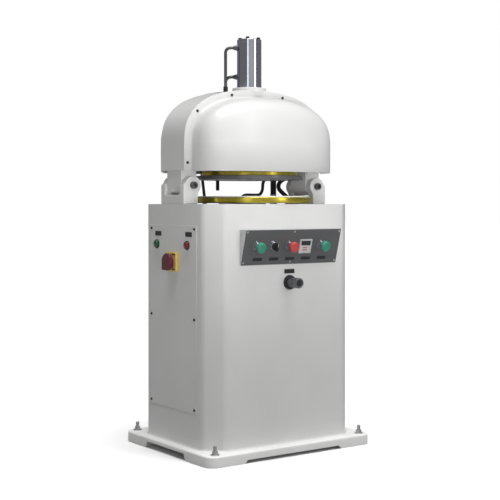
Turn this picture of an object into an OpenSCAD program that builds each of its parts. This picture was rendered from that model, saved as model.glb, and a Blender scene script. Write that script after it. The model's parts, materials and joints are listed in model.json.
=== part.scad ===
// Hydraulic divider rounder: a cabinet with an orbiting table and a press head on two yokes.
// Millimetres. X runs to the right along the front, Y to the back, Z up from the floor.

/* [Base] */
// Width of the base plate
base_w = 686; // [660:1:740]
// Depth of the base plate
base_d = 560; // [540:1:620]
// Height of the base plate
base_h = 37; // [32:1:48]
// Radius of the base plate's corners
base_corner_r = 36; // [12:1:44]
// Length of a floor pad along the width
pad_w = 140; // [110:1:170]
// Length of a floor pad along the depth
pad_d = 150; // [110:1:170]
// Height of the relief under the front and rear edges
front_relief = 11; // [6:1:16]
// Height of the relief under the side edges
side_relief = 22; // [10:1:24]
// Diameter of the levelling studs
stud_dia = 12; // [8:1:16]
// Length of a levelling stud above the base plate
stud_up = 29; // [22:1:40]
// Distance of a stud from the side edge
stud_inset_x = 38; // [26:1:42]
// Distance of a stud from the front or rear edge
stud_inset_y = 27; // [24:1:30]
// Width across the flats of a levelling nut
nut_af = 19; // [17:1:24]
// Height of a levelling nut
nut_h = 10; // [6:1:14]
// Diameter of a levelling washer
washer_dia = 30; // [26:1:36]
// Thickness of a levelling washer
washer_t = 2.5; // [1:0.5:4]

/* [Cabinet] */
// Width of the cabinet
cabinet_w = 613; // [600:1:640]
// Depth of the cabinet
cabinet_d = 468; // [460:1:490]
// Height of the cabinet's top above the floor
cabinet_top = 850; // [830:1:900]
// Leg of the chamfered corners
corner_leg = 56; // [30:1:70]
// Thickness of the cabinet's sheet
sheet = 3; // [2:0.5:5]
// Thickness of the deck plate
deck_t = 12; // [8:1:16]
// Width of the left access panel
side_panel_w = 304; // [280:1:320]
// Height of the left access panel
side_panel_h = 626; // [560:1:640]
// Height of the left access panel's lower edge
side_panel_z = 152; // [120:1:180]
// Thickness of the access panels
panel_t = 2; // [1:0.5:4]
// Width of an access panel's overlap on the cabinet
panel_lap = 22; // [18:1:30]
// Width of the rear panel
rear_panel_w = 300; // [260:1:330]
// Diameter of a panel screw's head
screw_dia = 9; // [6:1:12]
// Height of a panel screw's head
screw_h = 4; // [2:0.5:6]
// Number of louvres in each row of the rear panel
louvre_count = 9; // [4:1:12]
// Height of a louvre
louvre_h = 8; // [5:1:12]

/* [Side controls] */
// Diameter of a lamp bezel
lamp_dia = 31; // [26:1:36]
// Height of a lamp bezel
lamp_h = 5; // [4:1:9]
// Wall of a lamp bezel
lamp_wall = 2; // [1.5:0.5:4]
// Distance of the lamps below the left panel's top
lamp_drop = 67; // [48:1:88]
// Distance of the lamps from each other
lamp_pitch = 198; // [160:1:220]
// Side of the main switch's plate
switch_side = 66; // [60:1:76]
// Thickness of the main switch's plate
switch_t = 10; // [6:1:12]
// Distance of the main switch below the left panel's top
switch_drop = 125; // [118:1:148]
// Diameter of the main switch's knob
switch_knob_dia = 58; // [44:1:62]
// Height of the main switch's knob
switch_knob_h = 20; // [16:1:36]
// Diameter of the foot of the main switch's knob
switch_foot_dia = 40; // [30:1:44]

/* [Control panel] */
// Width of the control panel
console_w = 406; // [390:1:430]
// Distance of the control panel's middle from the machine's middle
console_x = 8; // [0:1:20]
// Height of the control panel
console_h = 120; // [110:1:130]
// Height of the control panel's lower edge
console_z = 645; // [630:1:660]
// Depth of the control panel at its top
console_top_d = 37; // [30:1:44]
// Depth of the control panel at its foot
console_foot_d = 4; // [3:1:8]
// Wall of the control panel
console_wall = 2.5; // [2:0.5:3]
// Distance between two controls
control_pitch = 68; // [64:1:74]
// Height of the row of controls above the control panel's lower edge
control_up = 67; // [60:1:74]
// Diameter of a mushroom button
button_dia = 36; // [32:1:44]
// Height of a mushroom button's cap
button_h = 18; // [11:1:20]
// Travel of a button
button_travel = 5; // [3:1:6]
// Diameter of a button's stem
stem_dia = 22; // [18:1:24]
// Diameter of a button's collar
collar_dia = 30; // [27:1:36]
// Height of a button's collar
collar_h = 12; // [6:1:14]
// Diameter of the selector's knob
selector_dia = 27; // [24:1:32]
// Height of the selector's knob
selector_h = 19; // [15:1:22]
// Thickness of the selector's grip
selector_grip_t = 8; // [6:1:10]
// Width of the timer
timer_w = 50; // [46:1:60]
// Height of the timer's face
timer_h = 49; // [46:1:60]
// Height that the timer stands out
timer_t = 6; // [4:1:10]
// Border of the timer's case
timer_border = 5; // [3:1:8]
// Width of a small label plate
label_w = 38; // [30:1:46]
// Height of a small label plate
label_h = 11; // [8:1:16]
// Thickness of a label plate
label_t = 1.2; // [0.5:0.1:2]
// Height of the control panel's labels above its lower edge
label_up = 20; // [16:1:24]

/* [Adjuster] */
// Distance of the adjusting knob from the machine's middle
adjuster_x = 11; // [0:1:20]
// Height of the adjusting knob above the floor
adjuster_z = 583; // [560:1:596]
// Diameter of the adjuster's flange
adjuster_flange_dia = 50; // [44:1:60]
// Height of the adjuster's flange
adjuster_flange_h = 7; // [4:1:12]
// Diameter of the adjusting knob
adjuster_dia = 35; // [28:1:42]
// Length of the adjusting knob
adjuster_len = 50; // [34:1:54]
// Diameter of the adjusting spindle
spindle_dia = 14; // [10:1:18]
// Height of the adjuster's label above its axis
adjuster_label_up = 38; // [36:1:44]

/* [Yokes and head] */
// Distance of a pivot pin in from the cabinet's side
pin_inset = 38.5; // [36.5:0.5:42.5]
// Height of the pivot pins above the cabinet's top
pin_up = 64; // [58:1:70]
// Diameter of a pivot pin
pin_dia = 24; // [18:1:30]
// Length that a pin stands out of its yoke in front
pin_out = 12; // [6:1:20]
// Radius of a yoke's boss and of a head leg's barrel
boss_r = 31; // [26:1:31]
// Thickness of a yoke's ear
ear_t = 28; // [20:1:32]
// Width of a yoke's base block
yoke_w = 57; // [48:1:60]
// Distance of the head's front face from the machine's middle
head_front = 63; // [58:1:66]
// Distance of the head's rear face from the machine's middle
head_rear = 86; // [80:1:92]
// Height of the head's lower edge above the cabinet's top
head_up = 115; // [110:1:120]
// Distance of the arch's side in from the cabinet's side
arch_inset = 0.5; // [-5.5:0.5:4.5]
// Height of the arch's straight sides
arch_side = 95; // [80:1:110]
// Height of the arch's round part
arch_rise = 189; // [178:1:198]
// Exponent of the arch's round part
arch_power = 2.45; // [2:0.05:3]
// Thickness of the arch
arch_t = 14; // [10:1:18]
// Thickness of the covers
cover_t = 3; // [2:0.5:4]
// Width of a cover's flange
cover_flange = 27; // [24:1:32]
// Depth of the front cover's dome
front_bulge = 142; // [136:1:150]
// Room behind the press ring, inside the rear cover's dome
rear_room = 58; // [52:1:64]
// Height of the rear cover's curved part
rear_rise = 198; // [186:1:206]
// Squareness of the rear cover's curve
rear_power = 2.08; // [2:0.02:3]
// Distance of a cover's lower edge below the arch's lower edge
cover_drop = 4; // [2:1:8]
// Exponent of a dome's depth
dome_power = 3.2; // [2.4:0.1:3.6]

/* [Cylinder] */
// Distance of the press axis in front of the machine's middle
axis_front = 12; // [8:1:14]
// Diameter of the cylinder
cylinder_dia = 87; // [80:1:96]
// Bore of the cylinder
cylinder_bore = 70; // [60:1:72]
// Length of the cylinder's barrel
cylinder_len = 163; // [150:1:180]
// Thickness of the cylinder's cap
cylinder_cap_t = 10; // [8:1:14]
// Diameter of the cylinder's collar
foot_collar_dia = 120; // [112:1:126]
// Height of the cylinder's collar
foot_collar_h = 12; // [6:1:16]
// Diameter of the press rod
rod_dia = 40; // [30:1:45]
// Diameter of an oil pipe
pipe_dia = 11; // [8:1:12]
// Height of the front oil pipe's fitting above the barrel's foot
pipe_front_up = 144; // [130:1:152]
// Height of the rear oil pipe's fitting above the barrel's foot
pipe_rear_up = 42; // [34:1:60]

/* [Press] */
// Step from the table's rim in to the press ring
press_inset = 14; // [12:1:20]
// Height of the press ring
press_ring_h = 14; // [10:1:18]
// Height of the brass ring above the press ring
guard_h = 17; // [12:1:22]
// Thickness of the brass ring
guard_t = 4; // [3:0.5:6]
// Thickness of the press plate
press_plate_t = 20; // [14:1:26]
// Height of the working gap above the dough plate at rest
work_gap = 58; // [50:1:60]
// Travel of the knives
knife_travel = 18; // [10:1:20]
// Thickness of the knives
knife_t = 3; // [2:0.5:4]
// Height of the knives
knife_h = 11; // [8:1:11]
// Gap between a knife and a press pad
knife_gap = 0.5; // [0.3:0.1:0.8]

/* [Table] */
// Gap between the yokes and the table's rim on its orbit
yoke_clearance = 20.5; // [18.5:0.5:28.5]
// Height of the table's top above the cabinet's top
table_up = 23; // [20:1:28]
// Thickness of the table's disc
table_t = 20; // [16:1:20]
// Thickness of the brass table rim
table_rim_t = 8; // [5:1:12]
// Height of the brass table rim
table_rim_h = 19; // [14:1:19]
// Step from the table's rim in to the dough plate
dough_inset = 4; // [2:1:24]
// Thickness of the dough plate
dough_t = 4; // [3:1:6]
// Eccentricity of the crank
crank_ecc = 25; // [15:1:28]
// Diameter of the crank shaft
crank_dia = 50; // [40:1:56]
// Diameter of the crank pin
crank_pin_dia = 36; // [28:1:40]
// Distance of the idle crank behind the crank shaft
idle_back = 128; // [126:1:136]
// Diameter of the idle crank's shaft
idle_dia = 28; // [20:1:32]
// Diameter of the idle crank's pin
idle_pin_dia = 18; // [14:1:20]

/* [Drive] */
// Radius of the crank pulley
crank_pulley_r = 80; // [70:1:90]
// Radius of the motor pulley
motor_pulley_r = 40; // [30:1:45]
// Height of the pulleys
pulley_h = 30; // [20:1:34]
// Distance of the motor to the right of the crank shaft
motor_x = 150; // [140:1:170]
// Distance of the motor behind the crank shaft
motor_back = 72; // [60:1:90]
// Diameter of the drive motor
motor_dia = 140; // [120:1:160]
// Length of the drive motor
motor_len = 270; // [220:1:300]
// Width of the oil tank
tank_w = 260; // [220:1:280]
// Depth of the oil tank
tank_d = 250; // [220:1:280]
// Height of the oil tank
tank_h = 200; // [160:1:220]

/* [Hidden] */
$fn = 64;

// Overrun of cuts, clearance of seated round pieces, of running fits, and under moving pieces
over = 1;
fit = 0.1;
run = 0.05;
seat = 0.2;

// Colours
paint = [0.9, 0.9, 0.88];
dark_grey = [0.28, 0.29, 0.31];
black = [0.08, 0.08, 0.09];
steel = [0.7, 0.71, 0.73];
brass = [0.8, 0.62, 0.25];
teal = [0.15, 0.5, 0.4];
red = [0.75, 0.18, 0.2];
yellow = [0.9, 0.75, 0.3];

// Levels and places that several pieces share
shell_x = cabinet_w / 2;
shell_y = cabinet_d / 2;
panel_top = side_panel_z + side_panel_h;
lamp_z = panel_top - lamp_drop;
switch_z = panel_top - switch_drop;
pin_x = shell_x - pin_inset;
arch_half = shell_x - arch_inset;
table_r = shell_x - yoke_w - crank_ecc - yoke_clearance;
dough_r = table_r - dough_inset;
press_r = table_r - press_inset;
axis_y = -axis_front;
press_rear = axis_y + press_r;
rear_bulge = press_rear + rear_room - head_rear;
pin_z = cabinet_top + pin_up;
head_z = cabinet_top + head_up;
arch_z0 = head_z + arch_side;
arch_top = arch_z0 + arch_rise;
cover_z = head_z - cover_drop;
table_y = axis_y - crank_ecc;
table_top = cabinet_top + table_up;
dough_z = table_top + seat;
press_z = dough_z + dough_t + work_gap;
guard_z = press_z + press_ring_h;
press_plate_z = guard_z + guard_h;
press_plate_top = press_plate_z + press_plate_t;

// Base plate: run of the relief's slanted ends, depth of the studs' holes below the plate's top
relief_slope = 10;
stud_sunk = 22;

// Cabinet: place of the left panel, screws, label plates and lamps along the side
side_panel_y = 6;
panel_screw_inset = 12;
lamp_y = 10;
lamp_label_up = 37;
lamp_label_shift = 9;
side_label_w = 40;
side_label_h = 16;
switch_y = 1;
lens_h = 11;
louvre_w = 105;
louvre_row = 130;
louvre_pitch = 26;

// Control panel
console_tilt = atan((console_top_d - console_foot_d) / console_h);
control_shift = -15;
label_shift = 12;
timer_drop = 5;
control_x = [for (i = [-2 : 2]) console_x + control_shift + i * control_pitch];
console_rim = 16;
console_screw_dia = 8;
console_screw_h = 2.5;
console_screw_inset = 9;
stem_len = 18;
button_gap = 1.5;
button_crown = 4;
display_share = 0.42;
display_t = 1;
adjuster_label_w = 43;
adjuster_label_h = 15;
adjuster_gap = 1;
adjuster_neck = 2.5;
adjuster_neck_h = 4;
adjuster_neck_at = 0.45;
adjuster_recess = 3;
adjuster_recess_dia = 24;
spindle_in = 40;
spindle_collar_dia = 26;
spindle_collar_h = 8;

// Yokes
yoke_gap = 2;
ear_chamfer = 30;
pin_rear_out = 6;
pin_socket_dia = 12;
pin_socket_d = 8;

// Head
arch_steps = 28;
dome_steps = 10;
dome_end = 87;
foot_reach = 81;
foot_h = 35;
crown_dia = 124;
crown_rise = 0.5;
rod_gap = 3;
cover_screw_dia = 10;
cover_screw_h = 4;
cover_screw_up = 25;
cover_screw_angles = [33, 73, 108, 147];
rear_inset = 14;

// Cylinder, pipes and manifold
collar_z = arch_top + crown_rise;
cylinder_z = collar_z + foot_collar_h;
piston_h = 24;
piston_up = 110;
bolt_dia = 13;
bolt_h = 8;
bolt_ring_r = 33;
pipe_places = [[-76, 26], [-62, 46]];
pipe_tops = [cylinder_z + pipe_front_up, cylinder_z + pipe_rear_up];
pipe_bend_r = 18;
fitting_r = 8;
fitting_h = 14;
fitting_lip = 4;
manifold_w = 150;
manifold_x = -10;
manifold_front = 12;
manifold_h = 70;
manifold_drop = 22;
manifold_pad_h = 12;
stop_rod_dia = 13;
stop_rod_gap = 7.5;
stop_rod_y = press_rear + stop_rod_gap + stop_rod_dia / 2;
stop_rod_end = 50;
stop_arm_w = 16;
stop_arm_h = 8;
stop_arm_y = 70;
stop_arm_drop = 34;

// Hoses, each as its radius, its foot on the deck and its route from there
hose_sides = 10;
hose_parts = 3;
slim_r = 5.5;
slim_foot = [-35, 225.5];
slim_route = [[0, 0, 0], [-6, 0, 45], [-12, 0, 90], [-16, 0, 135], [-18, -8, 200], [-18, -28, 262],
    [-18, -64, 298], [-18, -96, 315], [-18, -125.5, 320]];
thick_r = 11;
thick_foot = [214, 134];
thick_route = [[0, 0, 0], [0, 0, 60], [0, 0, 120], [-6, 2, 190], [-36, 6, 250], [-90, 2, 296],
    [-140, -8, 316], [-168, -20, 320], [-170, -34, 320]];
bow_r = 8;
bow_foot = [280, 130];
bow_route = [[0, 0, 0], [-4, 0, 12], [-24, 0, 27], [-41, 0, 42], [-45, -1, 57], [-38, -4, 71],
    [-26, -11, 80], [-18, -21, 84], [-18, -30, 84]];
bent_r = 6;
bent_foot = [130, 225];
bent_route = [[0, 0, 0], [4, 0, 12], [20, 0, 20], [60, 0, 20], [84, 0, 22], [96, 0, 34], [100, 0, 50],
    [100, -2, 65], [101, -13, 79], [103, -38, 85], [106, -68, 86], [109, -98, 86], [110, -112, 86],
    [110, -125, 86]];

// Press
guard_step = 20;
guard_r = press_r - guard_step;
pad_gap = 3;
pad_r = guard_r - guard_t - pad_gap;
pad_radius_shares = [0, 0.32, 0.66, 1];
pad_counts = [4, 10, 16];
pad_up = 2;
knife_rod_dia = 8;
knife_rod_count = 3;
carrier_w = 24;
carrier_t = 8;
carrier_gap = 2;

// Table and cranks
table_z = table_top - seat - table_t;
table_disc_r = table_r - table_rim_t;
crank_flange_dia = 120;
crank_flange_gap = 2;
idle_flange_dia = 78;
crank_seat_dia = 150;
idle_seat_dia = 100;
housing_flange_t = 12;
housing_wall = 20;
crank_housing_len = 146;
idle_housing_len = 60;
pin_cover = 4;
deck_z = cabinet_top - deck_t;
housing_z = deck_z - housing_flange_t;
crank_flange_z = deck_z + seat;
idle_y = axis_y + idle_back;

// Drive
shaft_end = 6;
pulley_gap = 10;
pulley_z = housing_z - crank_housing_len - pulley_gap - pulley_h;
shelf_t = 10;
shelf_gap = 30;
shelf_z = pulley_z - shelf_gap - shelf_t;
shelf_hole_dia = 60;
motor_y = axis_y + motor_back;
motor_shaft_dia = 24;
motor_shaft_in = 30;
belt_t = 4;
belt_gap = 0.8;
belt_edge = 3;
belt_w = pulley_h - 2 * belt_edge;
tank_x = -120;
tank_y = 70;
pump_dia = 130;
pump_h = 200;
pump_shift = 55;
valve_w = 80;
valve_h = 90;
terminal_w = 60;

// Outlines

function curve(c, power = arch_power) = sign(c) * pow(abs(c), 2 / power);

function arch_line(half, rise, y, foot, power = arch_power) = concat(
    [[-half, y, foot]],
    [for (i = [0 : arch_steps]) let (a = 180 - 180 * i / arch_steps)
        [half * curve(cos(a), power), y, arch_z0 + rise * curve(sin(a), power)]],
    [[half, y, foot]]);

function face_xz(points) = [for (p = points) [p[0], p[2]]];

function backwards(list) = [for (i = [len(list) - 1 : -1 : 0]) list[i]];

function split(a, b, c, d) = [[a, b, c], [a, c, d]];

function inset_leg(inset) = corner_leg - inset * (2 - sqrt(2));

function console_y(up) = -shell_y - console_foot_d - up * tan(console_tilt);

module cut_corners(w, d, leg) {
    x = w / 2;
    y = d / 2;
    polygon([[-x, leg - y], [leg - x, -y], [x - leg, -y], [x, leg - y],
        [x, y - leg], [x - leg, y], [leg - x, y], [-x, y - leg]]);
}

module cabinet_prism(inset, z, h) {
    translate([0, 0, z])
        linear_extrude(h)
            cut_corners(cabinet_w - 2 * inset, cabinet_d - 2 * inset, inset_leg(inset));
}

module slab(w, d, h) {
    translate([-w / 2, -d / 2, 0]) cube([w, d, h]);
}

module tube(outer, inner, h) {
    difference() {
        cylinder(d = outer, h = h);
        translate([0, 0, -over]) cylinder(d = inner, h = h + 2 * over);
    }
}

module domed_head(dia, h) {
    rise = h / 3;
    rotate_extrude()
        polygon([[0, 0], [dia / 2, 0], [dia / 2, h - rise], [dia / 2 - rise, h], [0, h]]);
}

// Places on the faces that carry controls

module on_side(y, z) {
    translate([-shell_x - panel_t, y, z]) rotate([0, -90, 0]) children();
}

module on_front(x, z) {
    translate([x, -shell_y, z]) rotate([90, 0, 0]) children();
}

module on_rear(x, z) {
    translate([x, shell_y + panel_t, z]) rotate([-90, 0, 0]) children();
}

module on_console(x, up) {
    translate([x, console_y(up), console_z + up]) rotate([90 + console_tilt, 0, 0]) children();
}

module at_axis(z) {
    translate([0, axis_y, z]) children();
}

module along_y(x, y, z) {
    translate([x, y, z]) rotate([-90, 0, 0]) children();
}

// Base

module relief(length, width, depth) {
    rotate([90, 0, 0])
        translate([0, 0, -width / 2])
            linear_extrude(width)
                polygon([[-length / 2, -over], [length / 2, -over], [length / 2, 0],
                    [length / 2 - relief_slope, depth], [relief_slope - length / 2, depth],
                    [-length / 2, 0]]);
}

module at_studs() {
    for (sx = [-1, 1], sy = [-1, 1])
        translate([sx * (base_w / 2 - stud_inset_x), sy * (base_d / 2 - stud_inset_y), 0])
            children();
}

module base_plate() {
    color(paint)
        difference() {
            union() {
                slab(base_w - 2 * base_corner_r, base_d, base_h);
                slab(base_w, base_d - 2 * base_corner_r, base_h);
                for (sx = [-1, 1], sy = [-1, 1])
                    translate([sx * (base_w / 2 - base_corner_r), sy * (base_d / 2 - base_corner_r), 0])
                        cylinder(r = base_corner_r, h = base_h);
            }
            relief(base_w - 2 * pad_w, base_d + 2 * over, front_relief);
            rotate([0, 0, 90]) relief(base_d - 2 * pad_d, base_w + 2 * over, side_relief);
            at_studs()
                translate([0, 0, base_h - stud_sunk])
                    cylinder(d = stud_dia + 2 * fit, h = stud_sunk + over);
        }
}

module levelling_feet() {
    color(steel)
        at_studs()
            translate([0, 0, base_h]) {
                translate([0, 0, -stud_sunk]) cylinder(d = stud_dia, h = stud_sunk + stud_up);
                difference() {
                    union() {
                        cylinder(d = washer_dia, h = washer_t);
                        cylinder(d = nut_af / cos(30), h = washer_t + nut_h, $fn = 6);
                    }
                    translate([0, 0, -over])
                        cylinder(d = stud_dia + 2 * fit, h = washer_t + nut_h + 2 * over);
                }
            }
}

// Cabinet

module cabinet_shell() {
    color(paint)
        difference() {
            cabinet_prism(0, base_h, cabinet_top - base_h);
            cabinet_prism(sheet, base_h - over, cabinet_top - base_h + 2 * over);
            translate([-shell_x - over, side_panel_y - side_panel_w / 2 + panel_lap,
                    side_panel_z + panel_lap])
                cube([sheet + 2 * over, side_panel_w - 2 * panel_lap, side_panel_h - 2 * panel_lap]);
            translate([panel_lap - rear_panel_w / 2, shell_y - sheet - over, side_panel_z + panel_lap])
                cube([rear_panel_w - 2 * panel_lap, sheet + 2 * over, side_panel_h - 2 * panel_lap]);
            translate([console_x - console_w / 2 + console_rim, -shell_y - over, console_z + console_rim])
                cube([console_w - 2 * console_rim, sheet + 2 * over, console_h - 2 * console_rim]);
            on_front(adjuster_x, adjuster_z)
                translate([0, 0, -sheet - over])
                    cylinder(d = spindle_dia + 2 * over, h = sheet + 2 * over);
        }
}

module deck_plate() {
    color(steel)
        difference() {
            cabinet_prism(sheet + seat, deck_z, deck_t);
            at_axis(deck_z - over)
                cylinder(d = crank_flange_dia + 2 * crank_flange_gap, h = deck_t + 2 * over);
            translate([0, idle_y, deck_z - over])
                cylinder(d = idle_flange_dia + 2 * crank_flange_gap, h = deck_t + 2 * over);
        }
}

module left_panel() {
    color(paint)
        translate([-shell_x - panel_t, side_panel_y - side_panel_w / 2, side_panel_z])
            cube([panel_t, side_panel_w, side_panel_h]);
}

module rear_panel() {
    color(paint)
        difference() {
            translate([-rear_panel_w / 2, shell_y, side_panel_z])
                cube([rear_panel_w, panel_t, side_panel_h]);
            for (sx = [-1, 1], i = [0 : louvre_count - 1])
                translate([sx * louvre_row / 2 - louvre_w / 2, shell_y - over,
                    side_panel_z + side_panel_h / 2 + (i - (louvre_count - 1) / 2) * louvre_pitch])
                    cube([louvre_w, panel_t + 2 * over, louvre_h]);
        }
}

module panel_screws() {
    color(black)
        for (sy = [-1, 1], sz = [-1, 0, 1]) {
            z = side_panel_z + side_panel_h / 2 + sz * (side_panel_h / 2 - panel_screw_inset);
            on_side(side_panel_y + sy * (side_panel_w / 2 - panel_screw_inset), z)
                domed_head(screw_dia, screw_h);
            on_rear(sy * (rear_panel_w / 2 - panel_screw_inset), z)
                domed_head(screw_dia, screw_h);
        }
}

// Side controls

module lamp_bezels() {
    color(steel)
        for (s = [-1, 1])
            on_side(lamp_y + s * lamp_pitch / 2, lamp_z)
                tube(lamp_dia, lamp_dia - 2 * lamp_wall, lamp_h);
}

module lamp_lens(side) {
    r = lamp_dia / 2 - lamp_wall - fit;
    on_side(lamp_y + side * lamp_pitch / 2, lamp_z)
        rotate_extrude()
            polygon(concat([[0, 0], [r, 0]],
                [for (a = [0 : 15 : 90]) [r * cos(a), lamp_h + (lens_h - lamp_h) * sin(a)]]));
}

module green_lamp() {
    color("green") lamp_lens(1);
}

module red_lamp() {
    color("firebrick") lamp_lens(-1);
}

module switch_plate() {
    color(yellow)
        on_side(switch_y, switch_z)
            difference() {
                slab(switch_side, switch_side, switch_t);
                translate([0, 0, -over]) cylinder(d = spindle_dia + 2 * run, h = switch_t + 2 * over);
            }
}

module switch_knob() {
    foot_h = switch_knob_h / 3;
    r = switch_knob_dia / 2;
    color("maroon")
        on_side(switch_y, switch_z) {
            translate([0, 0, seat]) cylinder(d = spindle_dia, h = switch_t + foot_h - seat);
            translate([0, 0, switch_t + seat]) cylinder(d = switch_foot_dia, h = foot_h);
            translate([0, 0, switch_t + foot_h]) cylinder(r = r, h = switch_knob_h - foot_h);
            translate([-r, 0, switch_t + foot_h]) cube([r, r, switch_knob_h - foot_h]);
        }
}

module label_plates() {
    color(black) {
        for (s = [-1, 1])
            on_side(lamp_y + s * lamp_pitch / 2 - lamp_label_shift, lamp_z + lamp_label_up)
                slab(side_label_h, side_label_w, label_t);
        for (x = control_x)
            on_console(x + label_shift, label_up) slab(label_w, label_h, label_t);
        on_front(adjuster_x, adjuster_z + adjuster_label_up)
            slab(adjuster_label_w, adjuster_label_h, label_t);
    }
}

// Control panel

module console_wedge(points, inset) {
    translate([console_x - console_w / 2 + inset, 0, 0])
        rotate([90, 0, 90])
            linear_extrude(console_w - 2 * inset)
                polygon(points);
}

module control_panel() {
    wall_y = console_wall / cos(console_tilt);
    top_up = console_h - console_wall;
    color(dark_grey)
        difference() {
            console_wedge([[-shell_y, console_z], [console_y(0), console_z],
                [console_y(console_h), console_z + console_h], [-shell_y, console_z + console_h]], 0);
            console_wedge([[over - shell_y, console_z + console_rim],
                [console_y(console_rim) + wall_y, console_z + console_rim],
                [console_y(top_up) + wall_y, console_z + top_up],
                [over - shell_y, console_z + top_up]], console_wall);
            for (i = [0, 1, 2, 4])
                on_console(control_x[i], control_up)
                    translate([0, 0, -stem_len])
                        cylinder(d = stem_dia + 2 * fit, h = stem_len + over);
        }
}

module control_panel_screws() {
    side = console_w / 2 - console_screw_inset;
    color(steel)
        for (sx = [-1, 0, 1], up = [console_screw_inset, console_h - console_screw_inset])
            on_console(console_x + sx * side, up)
                domed_head(console_screw_dia, console_screw_h);
}

module button_collars() {
    color(steel)
        for (i = [0, 1, 2, 4])
            on_console(control_x[i], control_up)
                tube(collar_dia, stem_dia + 2 * run, collar_h);
}

module mushroom(place) {
    foot = collar_h + button_travel + button_gap;
    r = button_dia / 2;
    on_console(control_x[place], control_up) {
        translate([0, 0, -stem_len]) cylinder(d = stem_dia, h = stem_len + foot + button_h / 2);
        translate([0, 0, foot])
            rotate_extrude()
                polygon([[0, 0], [r, 0], [r, button_h - button_crown],
                    [r - button_crown, button_h - button_crown / 4], [0, button_h]]);
    }
}

module start_button_left() {
    color(teal) mushroom(0);
}

module start_button_right() {
    color(teal) mushroom(4);
}

module stop_button() {
    color(red) mushroom(2);
}

module selector_knob() {
    disc_h = selector_h / 2;
    color(black)
        on_console(control_x[1], control_up) {
            translate([0, 0, -stem_len]) cylinder(d = stem_dia, h = stem_len + collar_h + disc_h);
            translate([0, 0, collar_h + seat]) cylinder(d = selector_dia, h = disc_h - seat);
            translate([0, 0, collar_h])
                intersection() {
                    translate([0, 0, seat]) cylinder(d = selector_dia, h = selector_h - seat);
                    slab(selector_grip_t, selector_dia, selector_h);
                }
        }
}

module timer_case() {
    inner_w = timer_w - 2 * timer_border;
    inner_h = timer_h - 2 * timer_border;
    color([0.75, 0.76, 0.76])
        on_console(control_x[3], control_up - timer_drop)
            difference() {
                slab(timer_w, timer_h, timer_t);
                translate([0, 0, timer_t - display_t]) slab(inner_w, inner_h, display_t + over);
            }
}

module timer_inlay(low_share, high_share) {
    inner_w = timer_w - 2 * timer_border - 2 * fit;
    inner_h = timer_h - 2 * timer_border - 2 * fit;
    on_console(control_x[3], control_up - timer_drop)
        translate([-inner_w / 2, inner_h * (low_share - 1 / 2), timer_t - display_t])
            cube([inner_w, inner_h * (high_share - low_share), display_t]);
}

module timer_display() {
    color(black) timer_inlay(1 - display_share, 1);
}

module timer_keypad() {
    color(dark_grey) timer_inlay(0, 1 - display_share);
}

// Adjuster

module adjuster_flange() {
    color(black)
        on_front(adjuster_x, adjuster_z)
            tube(adjuster_flange_dia, spindle_dia + 2 * run, adjuster_flange_h);
}

module adjusting_knob() {
    knob_z = adjuster_flange_h + adjuster_gap;
    color([0.45, 0.46, 0.48])
        on_front(adjuster_x, adjuster_z) {
            translate([0, 0, -spindle_in])
                cylinder(d = spindle_dia, h = spindle_in + knob_z + adjuster_len / 2);
            translate([0, 0, -sheet - adjuster_gap - spindle_collar_h])
                cylinder(d = spindle_collar_dia, h = spindle_collar_h);
            difference() {
                translate([0, 0, knob_z]) cylinder(d = adjuster_dia, h = adjuster_len);
                translate([0, 0, knob_z + adjuster_len * adjuster_neck_at])
                    tube(adjuster_dia + 2 * over, adjuster_dia - 2 * adjuster_neck, adjuster_neck_h);
                translate([0, 0, knob_z + adjuster_len - adjuster_recess])
                    cylinder(d = adjuster_recess_dia, h = adjuster_recess + over);
            }
        }
}

// Yokes and pins

module ear(y_rear) {
    top = pin_z + boss_r;
    inner = shell_x - yoke_w;
    translate([0, y_rear, 0])
        rotate([90, 0, 0])
            linear_extrude(ear_t)
                polygon([[inner, cabinet_top], [shell_x, cabinet_top], [shell_x, top - ear_chamfer],
                    [shell_x - ear_chamfer, top], [pin_x, top], [pin_x - boss_r, pin_z],
                    [inner, pin_z - boss_r]]);
    along_y(pin_x, y_rear - ear_t, pin_z) cylinder(r = boss_r, h = ear_t);
}

module yoke() {
    depth = head_front + head_rear;
    difference() {
        union() {
            translate([shell_x - yoke_w, -head_front, cabinet_top])
                cube([yoke_w, depth, pin_up - boss_r - yoke_gap]);
            ear(ear_t - head_front);
            ear(head_rear);
        }
        along_y(pin_x, -head_front - over, pin_z)
            cylinder(d = pin_dia + 2 * fit, h = depth + 2 * over);
    }
}

module right_yoke() {
    color(paint) yoke();
}

module left_yoke() {
    color(paint) mirror([1, 0, 0]) yoke();
}

module pivot_pins() {
    front = -head_front - pin_out;
    color(steel)
        for (s = [-1, 1])
            difference() {
                along_y(s * pin_x, front, pin_z)
                    cylinder(d = pin_dia, h = head_rear + pin_rear_out - front);
                along_y(s * pin_x, front - over, pin_z)
                    cylinder(d = pin_socket_dia, h = pin_socket_d + over, $fn = 6);
            }
}

// Head

module arch_leg() {
    front = ear_t + seat - head_front;
    depth = head_rear - ear_t - seat - front;
    translate([pin_x - boss_r, front, pin_z]) cube([2 * boss_r, depth, head_z - pin_z + over]);
    along_y(pin_x, front, pin_z) cylinder(r = boss_r, h = depth);
    translate([arch_half - foot_reach, -head_front, head_z])
        cube([foot_reach - arch_t / 2, head_front + head_rear, foot_h]);
}

module arch_band() {
    outer = face_xz(arch_line(arch_half, arch_rise, 0, head_z));
    inner = face_xz(arch_line(arch_half - arch_t, arch_rise - arch_t, 0, head_z));
    translate([0, head_rear, 0])
        rotate([90, 0, 0])
            linear_extrude(head_front + head_rear)
                polygon(concat(outer, backwards(inner)));
}

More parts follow.
